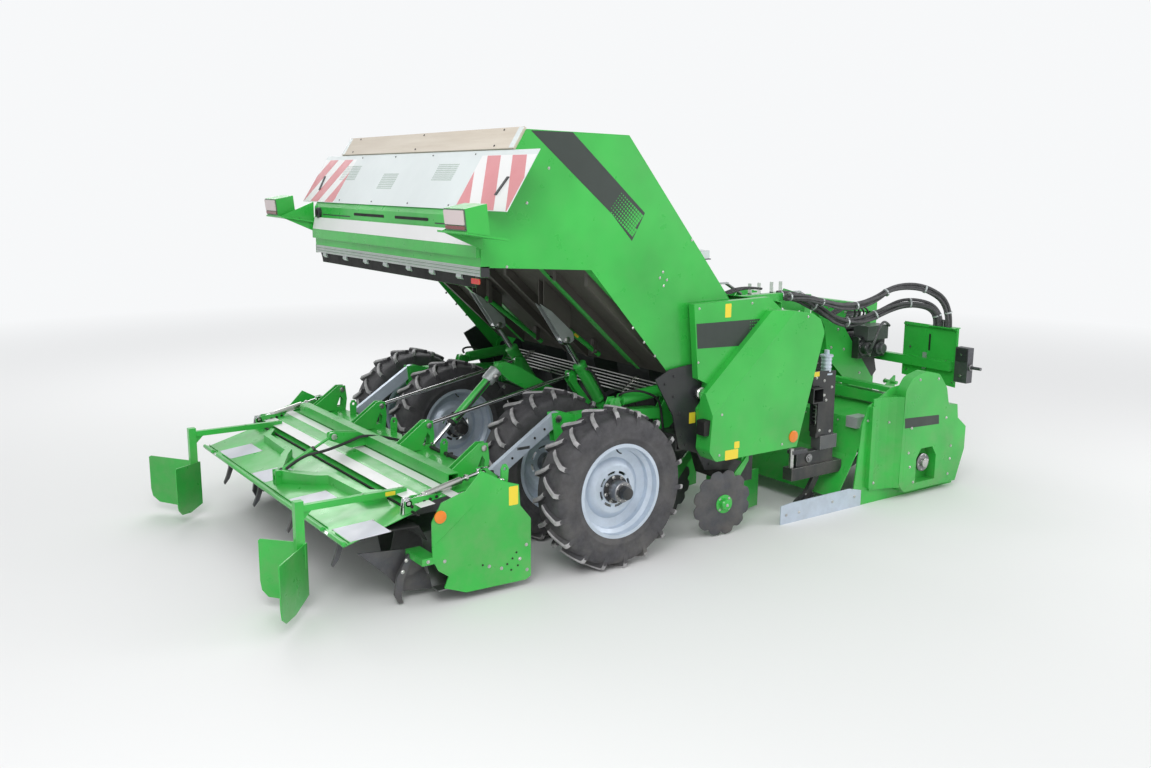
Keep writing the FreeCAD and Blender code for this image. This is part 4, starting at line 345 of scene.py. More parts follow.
# ---------------------------------------------------------------- mesh helpers
class Piece:
    """One mesh gathered from many small forms that ride on the same body.

    Places are millimetres from the wheel axle on the ground, written for the right-hand side.
    """

    def __init__(self, name, body, edge=0.0):
        self.name = name
        self.body = body
        self.edge = edge
        self.frame = Matrix.Identity(4)
        self.verts = []
        self.faces = []
        self.marks = []
        self.finishes = []

    def both(self):
        """Twice over: once as written and once mirrored to the left-hand side."""
        for side in (1, -1):
            self.frame = Matrix.Diagonal((1, side, 1, 1))
            yield side
        self.frame = Matrix.Identity(4)

    def add(self, verts, faces, finish):
        if finish not in self.finishes:
            self.finishes.append(finish)
        mark = self.finishes.index(finish)
        start = len(self.verts)
        self.verts += [at(*(self.frame @ Vector(vert))) for vert in verts]
        for face in faces:
            self.faces.append([start + index for index in face])
            self.marks.append(mark)

    def slab(self, outline, push, finish):
        """A flat polygon in space pushed along a vector."""
        push = Vector(push)
        count = len(outline)
        verts = [Vector(point) for point in outline]
        verts += [vert + push for vert in verts]
        faces = [list(range(count)), list(range(2 * count - 1, count - 1, -1))]
        faces += [[i, i + count, (i + 1) % count + count, (i + 1) % count] for i in range(count)]
        self.add(verts, faces, finish)

    def prism(self, outline, low, high, finish, axis="y"):
        """An outline pushed from low to high along an axis; it holds the two other axes' values."""
        order = {"x": lambda u, v, w: (w, u, v), "y": lambda u, v, w: (u, w, v), "z": lambda u, v, w: (u, v, w)}
        place = order[axis]
        self.slab([place(u, v, low) for u, v in outline], place(0, 0, high - low), finish)

    def box(self, x, y, z, finish):
        self.prism([(x[0], z[0]), (x[1], z[0]), (x[1], z[1]), (x[0], z[1])], y[0], y[1], finish)

    def lathe(self, centre, axis, profile, finish, steps=24, loop=False, first=0.0):
        """A turned form from points of (distance along the axis, radius)."""
        turn = Vector(axis).normalized().to_track_quat("Z", "Y")
        centre = Vector(centre)
        verts = []
        for reach, radius in profile:
            for step in range(steps):
                angle = first + 2 * math.pi * step / steps
                spot = Vector((radius * math.cos(angle), radius * math.sin(angle), reach))
                verts.append(centre + turn @ spot)
        rows = len(profile)
        faces = []
        for row in range(rows if loop else rows - 1):
            near = row * steps
            far = (row + 1) % rows * steps
            faces += [[near + s, near + (s + 1) % steps, far + (s + 1) % steps, far + s] for s in range(steps)]
        if not loop:
            faces += [list(range(steps))[::-1], list(range((rows - 1) * steps, rows * steps))]
        self.add(verts, faces, finish)

    def tube(self, points, radius, finish, sides=10):
        """A round bar or hose through points."""
        spots = [Vector(point) for point in points]
        side = (spots[1] - spots[0]).orthogonal().normalized()
        verts = []
        for index, spot in enumerate(spots):
            ahead = (spots[min(index + 1, len(spots) - 1)] - spots[max(index - 1, 0)]).normalized()
            side = (side - ahead * side.dot(ahead)).normalized()
            other = ahead.cross(side)
            for step in range(sides):
                angle = 2 * math.pi * step / sides
                verts.append(spot + radius * (math.cos(angle) * side + math.sin(angle) * other))
        faces = []
        for row in range(len(spots) - 1):
            near = row * sides
            far = near + sides
            faces += [[near + s, near + (s + 1) % sides, far + (s + 1) % sides, far + s] for s in range(sides)]
        faces += [list(range(sides))[::-1], list(range((len(spots) - 1) * sides, len(spots) * sides))]
        self.add(verts, faces, finish)

    def bolt(self, place, axis=(0, -1, 0), size=9, finish="bolt"):
        """A hexagon head on a washer, standing on a face."""
        self.lathe(place, axis, [(0, size * 1.35), (size * 0.18, size * 1.35), (size * 0.22, size * 1.2)],
                   finish, 12)
        self.lathe(place, axis, [(size * 0.2, size), (size * 0.75, size), (size * 0.88, size * 0.82)], finish, 6,
                   first=place[0] * 0.37)

    def screws(self, places, axis=(0, -1, 0), size=5, finish="dark"):
        """Flat round screw heads."""
        for place in places:
            self.lathe(place, axis, [(0, size), (size * 0.35, size), (size * 0.6, size * 0.6)], finish, 8)

    def build(self, *replaces):
        mesh = bpy.data.meshes.new(self.name)
        mesh.from_pydata(self.verts, [], self.faces)
        for finish in self.finishes:
            mesh.materials.append(MATERIALS[finish])
        mesh.polygons.foreach_set("material_index", self.marks)
        work = bmesh.new()
        work.from_mesh(mesh)
        bmesh.ops.recalc_face_normals(work, faces=work.faces)
        if self.edge:
            sharp = [edge for edge in work.edges
                     if len(edge.link_faces) == 2 and edge.calc_face_angle() > 0.6]
            bmesh.ops.bevel(work, geom=sharp, offset=self.edge / 1000, segments=1, profile=0.5,
                            affect="EDGES", clamp_overlap=True)
        work.to_mesh(mesh)
        work.free()
        mesh.polygons.foreach_set("use_smooth", [True] * len(mesh.polygons))
        mesh.set_sharp_from_angle(angle=math.radians(32))
        made = bpy.data.objects.new(self.name, mesh)
        bpy.context.scene.collection.objects.link(made)
        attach(made, self.body)
        if replaces:
            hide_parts(*replaces)
        if len(self.finishes) == 1:
            SLOT.get(self.finishes[0], self.finishes[0])
        return made


def clip(outline, low, high):
    """The part of a flat polygon inside a rectangle."""
    points = list(outline)
    for axis, limit, keep in ((0, low[0], 1), (0, high[0], -1), (1, low[1], 1), (1, high[1], -1)):
        inside = []
        for index, here in enumerate(points):
            before = points[index - 1]
            if (here[axis] - limit) * keep >= 0:
                if (before[axis] - limit) * keep < 0:
                    inside.append(cross(before, here, axis, limit))
                inside.append(here)
            elif (before[axis] - limit) * keep >= 0:
                inside.append(cross(before, here, axis, limit))
        points = inside
    return points


def cross(start, end, axis, limit):
    """Where a line crosses a limit of one axis."""
    share = (limit - start[axis]) / (end[axis] - start[axis])
    return tuple(first + share * (last - first) for first, last in zip(start, end))


def rounded(low, high, radius, steps=4):
    """A rectangle with rounded corners."""
    corners = ((high[0] - radius, high[1] - radius, 0), (low[0] + radius, high[1] - radius, 90),
               (low[0] + radius, low[1] + radius, 180), (high[0] - radius, low[1] + radius, 270))
    return [(x + radius * math.cos(math.radians(turn + 90 * step / steps)),
             y + radius * math.sin(math.radians(turn + 90 * step / steps)))
            for x, y, turn in corners for step in range(steps + 1)]


def swell(outline, grow):
    """An outline moved outwards from its middle."""
    count = len(outline)
    middle = (sum(point[0] for point in outline) / count, sum(point[1] for point in outline) / count)
    made = []
    for x, y in outline:
        reach = math.hypot(x - middle[0], y - middle[1])
        made.append((x + (x - middle[0]) * grow / reach, y + (y - middle[1]) * grow / reach))
    return made


def smooth(points):
    """Points along a NURBS line that the given points steer."""
    data = bpy.data.curves.new("route", "CURVE")
    data.dimensions = "3D"
    data.resolution_u = 8
    spline = data.splines.new("NURBS")
    spline.points.add(len(points) - 1)
    for point, spot in zip(spline.points, points):
        point.co = (*spot, 1)
    spline.order_u = 3
    spline.use_endpoint_u = True
    route = bpy.data.objects.new("route", data)
    mesh = bpy.data.meshes.new_from_object(route)
    spots = [vert.co.copy() for vert in mesh.vertices]
    bpy.data.objects.remove(route)
    bpy.data.meshes.remove(mesh)
    bpy.data.curves.remove(data)
    return spots


# ---------------------------------------------------------------- wheels
TYRE_SIDE = [(-112, 313), (-124, 321), (-133, 338), (-138, 358), (-140.5, 362), (-141, 371), (-138.5, 376),
             (-140, 400), (-142, 428), (-141, 452), (-137, 478), (-130, 497), (-120, 507), (-100, 513),
             (-60, 518), (-20, 521), (0, 522)]
LUG_RUN = [(-141, -44, 478, 440), (-138, -44, 517, 458), (-132, -43, 541, 480), (-120, -41, 549.5, 498),
           (-80, -20, 551, 508), (-30, 8, 551.5, 512), (10, 44, 551.5, 514)]
LUG_CUT = [(-21, 1.0), (-17, 0.22), (-12, 0.0), (12, 0.0), (17, 0.22), (21, 1.0)]


def wheel(name, y, outward):
    """Tyre and rim; outward is -1 where the rim's outer side faces right."""
    piece = Piece(f"wheel_{name}_dressed", f"wheel_{name}")
    piece.frame = Matrix.Translation((0, y, 552.5))
    section = TYRE_SIDE + [(-offset, radius) for offset, radius in reversed(TYRE_SIDE[:-1])]
    piece.lathe((0, 0, 0), (0, 1, 0), section, "tyre", 96, loop=True)
    for side in (1, -1):
        for number in range(18):
            lug(piece, math.radians(20 * (number + (0.5 if side < 0 else 0))), side)
    piece.frame = Matrix.Translation((0, y, 552.5)) @ Matrix.Diagonal((1, -outward, 1, 1))
    rim(piece)
    piece.build(f"tyre_{name}", f"rim_{name}")


def lug(piece, turn, side):
    """One slanted tread lug with chamfered flanks and a top in a lighter rubber colour."""
    verts = []
    for y, middle, top, base in LUG_RUN:
        for offset, drop in LUG_CUT:
            radius = top - (top - base) * drop
            angle = turn + (middle + offset) / 552.5
            verts.append((radius * math.sin(angle), y * side, radius * math.cos(angle)))
    width = len(LUG_CUT)
    flanks, tops = [], []
    for row in range(len(LUG_RUN) - 1):
        for column in range(width - 1):
            near = row * width + column
            quad = [near, near + 1, near + width + 1, near + width]
            (tops if 1 <= column <= 3 and row else flanks).append(quad)
    last = (len(LUG_RUN) - 1) * width
    flanks += [list(range(width)), list(range(last, last + width))]
    piece.add(verts, flanks, "tyre")
    piece.add(verts, tops, "lug")


def rim(piece):
    """Rim, dished disc with hand holes, wheel nuts and hub, its outer side towards -Y."""
    along_y = (0, 1, 0)
    middle = (0, 0, 0)
    piece.lathe(middle, along_y, [(-130, 327), (-122, 327), (-118, 311), (-88, 311), (-70, 286), (70, 286),
                                  (88, 311), (118, 311), (122, 327), (130, 327), (131, 303), (84, 302),
                                  (66, 276), (-66, 276), (-84, 302), (-131, 303)], "silver", 96, loop=True)
    piece.lathe(middle, along_y, [(-60, 162), (-56, 176), (-20, 212), (-24, 250), (-30, 277), (-16, 277),
                                  (-10, 250), (-5, 214), (-44, 172), (-46, 162)], "silver", 96, loop=True)
    steps = 96
    rings = (73, 109, 127, 162)
    verts = [(radius * math.cos(2 * math.pi * s / steps), level, radius * math.sin(2 * math.pi * s / steps))
             for level in (-60, -48) for radius in rings for s in range(steps)]
    faces = []
    layer = len(rings) * steps

    def is_open(ring, s):
        return ring == 1 and s % 12 < 8
    for ring in range(3):
        for s in range(steps):
            after = (s + 1) % steps
            inner, outer = ring * steps, (ring + 1) * steps
            if is_open(ring, s):
                faces += [[base + s, base + after, base + after + layer, base + s + layer]
                          for base in (inner, outer)]
                for edge, is_end in ((s, s % 12 == 0), (after, s % 12 == 7)):
                    if is_end:
                        faces.append([inner + edge, outer + edge, outer + edge + layer, inner + edge + layer])
                continue
            for base in (0, layer):
                faces.append([base + inner + s, base + inner + after, base + outer + after, base + outer + s])
    piece.add(verts, faces, "silver")
    piece.lathe(middle, along_y, [(-160, 66), (-154, 72), (10, 72), (16, 60)], "steel", 48)
    piece.lathe(middle, along_y, [(-210, 30), (-206, 42), (-160, 47), (-158, 40)], "dark", 32)
    piece.lathe(middle, along_y, [(-72, 96), (-60, 98), (-58, 70)], "dark", 48)
    for number in range(8):
        angle = math.radians(45 * number + 15)
        spot = (88 * math.cos(angle), -70, 88 * math.sin(angle))
        piece.bolt(spot, size=10)
        piece.lathe(spot, (0, -1, 0), [(8, 5), (17, 5), (18, 3)], "steel", 8)
        spot = (58 * math.cos(angle), -158, 58 * math.sin(angle))
        piece.screws([spot], size=6, finish="bolt")
    piece.tube([(0, -64, 282), (0, -84, 268), (0, -104, 262), (0, -122, 262)], 5, "dark", 8)


def all_wheels():
    for name, y, outward in (("outer_right", -1500, -1), ("inner_right", -750, 1), ("inner_left", 750, -1),
                             ("outer_left", 1500, 1)):
        wheel(name, y, outward)


# ---------------------------------------------------------------- closing discs
def closing_disc(number, y, side):
    """Smooth dished disc with a scalloped edge and a green hub."""
    piece = Piece(f"closing_disc_{number}", f"closing_{number}")
    piece.frame = (Matrix.Translation((1050, y, 256)) @ Matrix.Rotation(math.radians(8 * side), 4, "Z")
                   @ Matrix.Diagonal((1, -side, 1, 1)))
    steps = 144
    rings = [(0.17, -28), (0.45, -24), (0.62, -16), (0.8, -8), (0.93, -3), (1.0, 0)]
    verts = []
    for thick in (0, -6):
        for share, depth in rings:
            for step in range(steps):
                angle = 2 * math.pi * step / steps
                away = (math.degrees(angle) + 15) % 30 - 15
                notch = 27 * math.exp(-(away / 5.0) ** 2) * max(0.0, share - 0.8) / 0.2
                radius = 250 * share - notch
                verts.append((radius * math.sin(angle), depth + thick, radius * math.cos(angle)))
    layer = len(rings) * steps
    faces = []
    for base in (0, layer):
        for ring in range(len(rings) - 1):
            near = base + ring * steps
            faces += [[near + s, near + (s + 1) % steps, near + steps + (s + 1) % steps, near + steps + s]
                      for s in range(steps)]
    edge = layer - steps
    faces += [[edge + s, edge + (s + 1) % steps, edge + (s + 1) % steps + layer, edge + s + layer]
              for s in range(steps)]
    piece.add(verts, faces, "disc")
    piece.lathe((0, 0, 0), (0, -1, 0), [(20, 42), (36, 42), (40, 42), (66, 40), (74, 32), (76, 20)], "green", 32)
    piece.lathe((0, 0, 0), (0, -1, 0), [(30, 70), (37, 70), (38, 66), (38, 40)], "green", 40)
    for turn in range(4):
        angle = math.radians(90 * turn + 45)
        piece.bolt((56 * math.sin(angle), -38, 56 * math.cos(angle)), size=7)
    piece.bolt((0, -76, 0), size=9)
    piece.build(f"disc_{number}")


def closing_discs():
    number = 0
    for row in (-1.5, -0.5, 0.5, 1.5):
        for side in (-1, 1):
            number += 1
            outer = abs(row) > 1 and side * row > 0
            closing_disc(number, 1485 * side if outer else 750 * row + 250 * side, side)


# ---------------------------------------------------------------- hopper
def slope(share, depth=0.0):
    """(x, z) on the hopper's sloping rear wall, share millimetres up it and depth off it."""
    return -910 + 0.5364 * share - 0.8440 * depth, 2380 + 0.8440 * share + 0.5364 * depth


def on_slope(piece, outline, depth, thick, finish):
    """A thin plate on the rear wall from points of (y, share)."""
    verts = []
    for y, share in outline:
        x, z = slope(share, depth)
        verts.append((x, y, z))
    piece.slab(verts, (-0.8440 * thick, 0, 0.5364 * thick), finish)


def squares(piece, inside, corner, along, pitch, level, finish, grow):
    """Rows of squares turned to a direction on a side face, growing as they go along it."""
    across = (-along[1], along[0])
    for column in range(30):
        half = pitch * min(0.45, 0.12 + grow * column)
        for row in range(-14, 15):
            x = corner[0] + pitch * (column * along[0] + row * across[0])
            z = corner[1] + pitch * (column * along[1] + row * across[1])
            square = [(x + half * (a * along[0] + b * across[0]), z + half * (a * along[1] + b * across[1]))
                      for a, b in ((-1, -1), (1, -1), (1, 1), (-1, 1))]
            if all(inside(*point) for point in square):
                piece.prism(square, level - 0.8, level, finish)


def within(outline):
    """A test of whether a point lies inside a convex outline given clockwise or the other way."""
    def test(x, z):
        signs = []
        for index, (x1, z1) in enumerate(outline):
            x2, z2 = outline[(index + 1) % len(outline)]
            signs.append((x2 - x1) * (z - z1) - (z2 - z1) * (x - x1))
        return all(value >= 0 for value in signs) or all(value <= 0 for value in signs)
    return test


def hopper_sides():
    piece = Piece("hopper_side_trim", "hopper")
    stripe = [(-543, 2908), (-226, 2906), (373, 2389), (265, 2203), (93, 2386)]
    tip = [(60, 2420), (175, 2535), (373, 2389), (265, 2203)]
    for _ in piece.both():
        piece.prism(stripe, -1361, -1360, "decal")
        squares(piece, within(tip), (100, 2470), (0.76, -0.65), 21, -1361, "green", 0.026)
        for x, z in ((543, 1981), (579, 1924), (516, 1941), (552, 1885), (-409, 2679), (-574, 2462),
                     (-723, 2068), (286, 1608), (386, 1500), (486, 1395), (800, 2195)):
            piece.bolt((x, -1360, z), size=7)
        piece.tube([(-908, -1357, 2092), (-908, -1357, 2378), (-572, -1357, 2912)], 4, "green", 6)
        piece.tube([(-572, -1357, 2912), (228, -1357, 2897), (1248, -1357, 1668)], 4, "green", 6)
    piece.build()


def hazard_stripes(piece, side):
    """Wide red bands that climb from the panel's outer edge towards the middle."""
    for start in (1022, 1328, 1634):
        band = [(start, 42), (start + 165, 42), (start - 97, 440), (start - 262, 440)]
        shape = clip(band, (1002, 44), (1644, 438))
        if len(shape) > 2:
            on_slope(piece, [(side * y, share) for y, share in shape], 10, 0.9, "red_stripe")


def hopper_rear():
    piece = Piece("hopper_rear_trim", "hopper")
    for side in (-1, 1):
        on_slope(piece, [(side * 1000, 42), (side * 1648, 42), (side * 1648, 440), (side * 1000, 440)], 10, 0.5,
                 "reflex")
        hazard_stripes(piece, side)
        on_slope(piece, [(side * 1410, 150), (side * 1436, 150), (side * 1474, 280), (side * 1448, 280)], 10, 6,
                 "dark")
        on_slope(piece, [(side * 1290, 488), (side * 1347, 488), (side * 1347, 638), (side * 1290, 638)], 18, 1.2,
                 "white")
    for low, high, bottom, top in ((830, 1136, 250, 387), (92, 360, 178, 317), (-750, -450, 252, 390)):
        for column in range(int((high - low) / 17)):
            for row in range(int((top - bottom) / 15)):
                y = low + 17 * column
                share = bottom + 15 * row
                on_slope(piece, [(y, share), (y + 9, share), (y + 9, share + 8), (y, share + 8)], 10, 0.7, "vent")
    out = (-0.8440, 0, 0.5364)

    def screw(y, share, depth, size):
        x, z = slope(share, depth)
        piece.lathe((x, y, z), out, [(0, size), (size * 0.4, size), (size * 0.7, size * 0.6)], "dark", 8)
    for y in (-1120, 0, 1120):
        screw(y, 625, 18, 7)
        screw(y + 20, 506, 18, 7)
    for y in (-900, -300, 300, 900):
        screw(y, 452, 10, 6)
        screw(y, 66, 10, 6)
    for low, high in ((30, 560), (-664, -155)):
        piece.prism(rounded((low, 2332), (high, 2352), 9), -913, -910, "hole", "x")
    for low, high in ((-1300, -760), (640, 1180)):
        piece.prism(rounded((low, 2318), (high, 2326), 3), -912, -910, "dark", "x")
    piece.lathe((-908, 1250, 2335), (-1, 0, 0), [(0, 42), (26, 42), (32, 34), (30, 26)], "dark", 24)
    piece.lathe((-908, 1250, 2335), (-1, 0, 0), [(20, 24), (36, 24), (38, 18)], "hole", 20)
    piece.build()
    beams = Piece("rear_beams_dressed", "hopper", 1.0)
    beams.prism([(-910, 2130), (-910, 2300), (-918, 2300), (-940, 2200), (-940, 2130)], -1354, 1354, "green")
    # The beam's sloping face is covered by a pale plate: a painted reflection of the sky on the green beam, not a
    # pale part of its own.
    beams.slab([(-918.6, -1340, 2297), (-940.4, -1340, 2203), (-940.4, 1340, 2203), (-918.6, 1340, 2297)],
               (-1.5, 0, 0.4), "reflex")
    beams.box((-910, -850), (-1354, 1354), (2012, 2072), "aluminium")
    for z, half in ((2022, 3), (2042, 2), (2060, 3)):
        beams.box((-913, -909), (-1352, 1352), (z - half, z + half), "aluminium")
    for z in (2031, 2051):
        beams.box((-911, -909.5), (-1352, 1352), (z - 2, z + 2), "grey")
    for _ in beams.both():
        beams.box((-912, -848), (-1360, -1354), (2008, 2076), "dark")
    beams.prism([(-896, 2013), (-878, 2013), (-862, 1962), (-872, 1932), (-880, 1934), (-884, 1968)], -1240, 1300,
                "hole")
    for y in (1200, 790, 400, 50, -330, -680, -1060):
        beams.prism([(-904, 2011), (-852, 2011), (-850, 1990), (-862, 1976), (-892, 1976), (-906, 1990)], y - 34,
                    y + 34, "pale_steel")
    beams.prism(rounded((-1330, 1962), (-1230, 1998), 8), -908, -898, "red", "x")
    beams.box((-898, -880), (-1300, -1260), (1996, 2013), "dark")
    beams.build("hopper_rear_beams")
    lamps = Piece("lamps_dressed", "hopper", 1.5)
    for _ in lamps.both():
        lamp(lamps)
    lamps.build("lamp_boxes")


def lamp(piece):
    """Rear lamp box on its bracket: a pale lens over nearly the whole face with a dark red foot."""
    piece.prism([(-1190, 2304), (-1205, 2440), (-1060, 2468), (-1040, 2280)], -1700, -1440, "green")
    piece.prism([(-1200, 2296), (-1200, 2308), (-910, 2262), (-910, 2250)], -1700, -1345, "green")
    piece.prism([(-912, 2180), (-1180, 2296), (-1180, 2310), (-912, 2420)], -1390, -1376, "green")

    def face(y, z, depth):
        return -1190 - (z - 2310) * 15 / 130 - depth, y, z

    def plate(low, high, depth, thick, finish):
        piece.slab([face(y, z, depth) for y, z in rounded(low, high, 8)], (-thick, 0, 0), finish)
    plate((-1696, 2314), (-1444, 2437), 0, 5, "grey")
    plate((-1688, 2346), (-1452, 2431), 5, 6, "lens")
    plate((-1688, 2320), (-1452, 2341), 5, 5, "lens_red")
    piece.bolt((-1040, -1376, 2280), size=6)


def on_floor(x):
    """Height of the sloping hopper floor's underside at x."""
    return 2040 - (x + 70) * 855 / 940 - 8.1


def hopper_under():
    piece = Piece("hopper_brackets_dressed", "hopper", 1.0)
    spear = [(266, 1404), (330, 1392), (366, 1414), (352, 1476), (160, 1646), (62, 1706)]
    web = [(90, 1700), (330, 1500), (330, on_floor(330)), (90, on_floor(90))]
    for _ in piece.both():
        for y in (-1215, -825, -150):
            lip = "green" if y == -825 else "underside"
            for drop, rise, wide, finish in ((72, 0, 20, "underside"), (80, 72, 21, lip)):
                piece.prism([(x, on_floor(x) - depth) for depth in (rise, drop) for x in
                             ((-10, 760) if depth == rise else (760, -10))], y - wide, y + wide, finish)
        for low, high in ((-1354, -1262), (-690, -622)):
            piece.prism([(-66, on_floor(-66)), (820, on_floor(820)), (820, on_floor(820) - 7),
                         (-66, on_floor(-66) - 7)], low, high, "green")
        for y in (-533, -467):
            piece.prism(spear, y - 6, y + 6, "pale_steel")
            piece.prism(web, y - 4, y + 4, "underside")
        piece.lathe((300, -539, 1420), (0, -1, 0), [(0, 24), (9, 24), (12, 18)], "bolt", 20)
        piece.lathe((300, -461, 1420), (0, 1, 0), [(0, 24), (9, 24), (12, 18)], "bolt", 20)
        piece.tube([(300, -545, 1420), (300, -455, 1420)], 14, "bolt", 16)
        piece.tube([(150, -415, 1660), (690, -415, 1256)], 19, "green", 12)
        for x in (180, 640):
            z = 1660 - (x - 150) * 404 / 540
            piece.box((x - 18, x + 18), (-436, -394), (z - 20, on_floor(x) + 1), "underside")
            piece.bolt((x, -436, z), size=8)
        piece.prism([(432, 1434), (470, 1406), (482, 1422), (444, 1450)], -435, -430, "sticker")
        piece.tube(smooth([(760, -700, on_floor(760) - 6), (500, -705, on_floor(500) - 6),
                           (200, -700, on_floor(200) - 6), (40, -698, on_floor(40) - 6)]), 8, "rubber", 8)
    piece.build("hopper_brackets")


def rams():
    """Glands, hoses and eye caps of the hopper cylinders."""
    piece = Piece("ram_trim", "ram_barrels")
    run = Vector((300 - 670, 0, 1420 - 870)).normalized()
    foot = Vector((670, -500, 870))
    for _ in piece.both():
        piece.lathe(foot, run, [(384, 52), (400, 55), (414, 55), (418, 48), (418, 24)], "green", 32)
        piece.lathe(foot, run, [(60, 44), (66, 52), (86, 52), (90, 50)], "green", 32)
        port = foot + run * 372
        piece.lathe(port, (0.2, -1, 0.1), [(40, 14), (62, 14), (64, 11)], "steel", 12)
        start = port + Vector((8, -62, 6))
        piece.tube(smooth([start, start + Vector((10, -26, 0)), start + Vector((60, -30, -60)),
                           start + Vector((170, -22, -250)), start + Vector((210, 8, -330))]), 9, "rubber", 10)
        piece.lathe((670, -539, 870), (0, -1, 0), [(0, 22), (6, 22), (9, 16)], "bolt", 16)
    piece.build()


# ---------------------------------------------------------------- chassis
def covers():
    piece = Piece("cover_trim", "chassis")
    stripe = [(786, 1610), (1643, 1602), (1476, 1410), (802, 1430)]
    for _ in piece.both():
        piece.prism(stripe, -1451, -1450, "decal")
        squares(piece, within(stripe), (1310, 1520), (1, 0), 23, -1451, "green", 0.024)
        piece.prism(rounded((1058, 1636), (1116, 1736), 6), -1451, -1450, "sticker")
        piece.prism(rounded((962, 618), (1090, 690), 6), -1601, -1600, "sticker")
        piece.prism(rounded((1050, 694), (1100, 745), 6), -1601, -1600, "sticker")
        reflector(piece, (1656, -1600, 705))
        piece.prism([(772, 824), (768, 918), (776, 928), (840, 928), (846, 918), (836, 826), (830, 818),
                     (780, 816)], -1580, -1500, "hole")
        for x, z in ((809, 1717), (1323, 1725), (814, 1330)):
            piece.bolt((x, -1450, z), size=7)
        for x, z in ((905, 665), (1540, 660), (920, 962), (1760, 1612)):
            piece.bolt((x, -1600, z), size=7)
        piece.tube([(872, -1597, 624), (1696, -1597, 624)], 3, "green", 6)
    piece.build()


def reflector(piece, place, size=45):
    piece.lathe(place, (0, -1, 0), [(0, size), (8, size), (11, size - 6)], "orange", 32)


def frame_sides():
    piece = Piece("frame_side_trim", "chassis")
    for _ in piece.both():
        piece.prism(rounded((792, 873), (850, 954), 5), -1392.2, -1391, "sticker")
        piece.lathe((860, -1425, 1100), (0, -1, 0), [(0, 44), (18, 44), (26, 36)], "bolt", 32)
        for x, z in ((560, 1190), (640, 1090), (700, 960), (720, 790), (760, 720), (640, 1240), (930, 560),
                     (1000, 540)):
            piece.bolt((x, -1391, z), size=9, finish="dark")
        for y in (-1125,):
            for x, z in ((860, 925), (800, 1090)):
                piece.lathe((x, y - 40.5, z), (0, -1, 0), [(0, 38), (8, 38), (11, 32)], "silver", 24)
                piece.lathe((x, y - 51.5, z), (0, -1, 0), [(0, 18), (1, 18)], "hole", 16)
                piece.lathe((x, y + 40.5, z), (0, 1, 0), [(0, 38), (8, 38), (11, 32)], "silver", 24)
            for x in (-40, 40):
                for z in (580, 880):
                    piece.bolt((x, y - 50, z), size=8)
                    piece.bolt((x, y + 50, z), (0, 1, 0), 8)
            piece.box((-72, 72), (y - 58, y + 58), (598, 612), "pale_steel")
            piece.box((-72, 72), (y - 58, y + 58), (500, 514), "pale_steel")
            for x in (-62, 62):
                for dy in (-52, 52):
                    piece.tube([(x, y + dy, 492), (x, y + dy, 622)], 7, "bolt", 8)
            piece.lathe((-200, y - 40, 990), (0, -1, 0), [(0, 26), (8, 26), (10, 18)], "bolt", 16)
            piece.tube(smooth([(340, y - 20, 1090), (330, y - 60, 1120), (460, y - 90, 1130),
                               (640, y - 80, 1060), (700, y - 60, 960), (720, y - 60, 802)]), 9, "rubber", 10)
    piece.build()


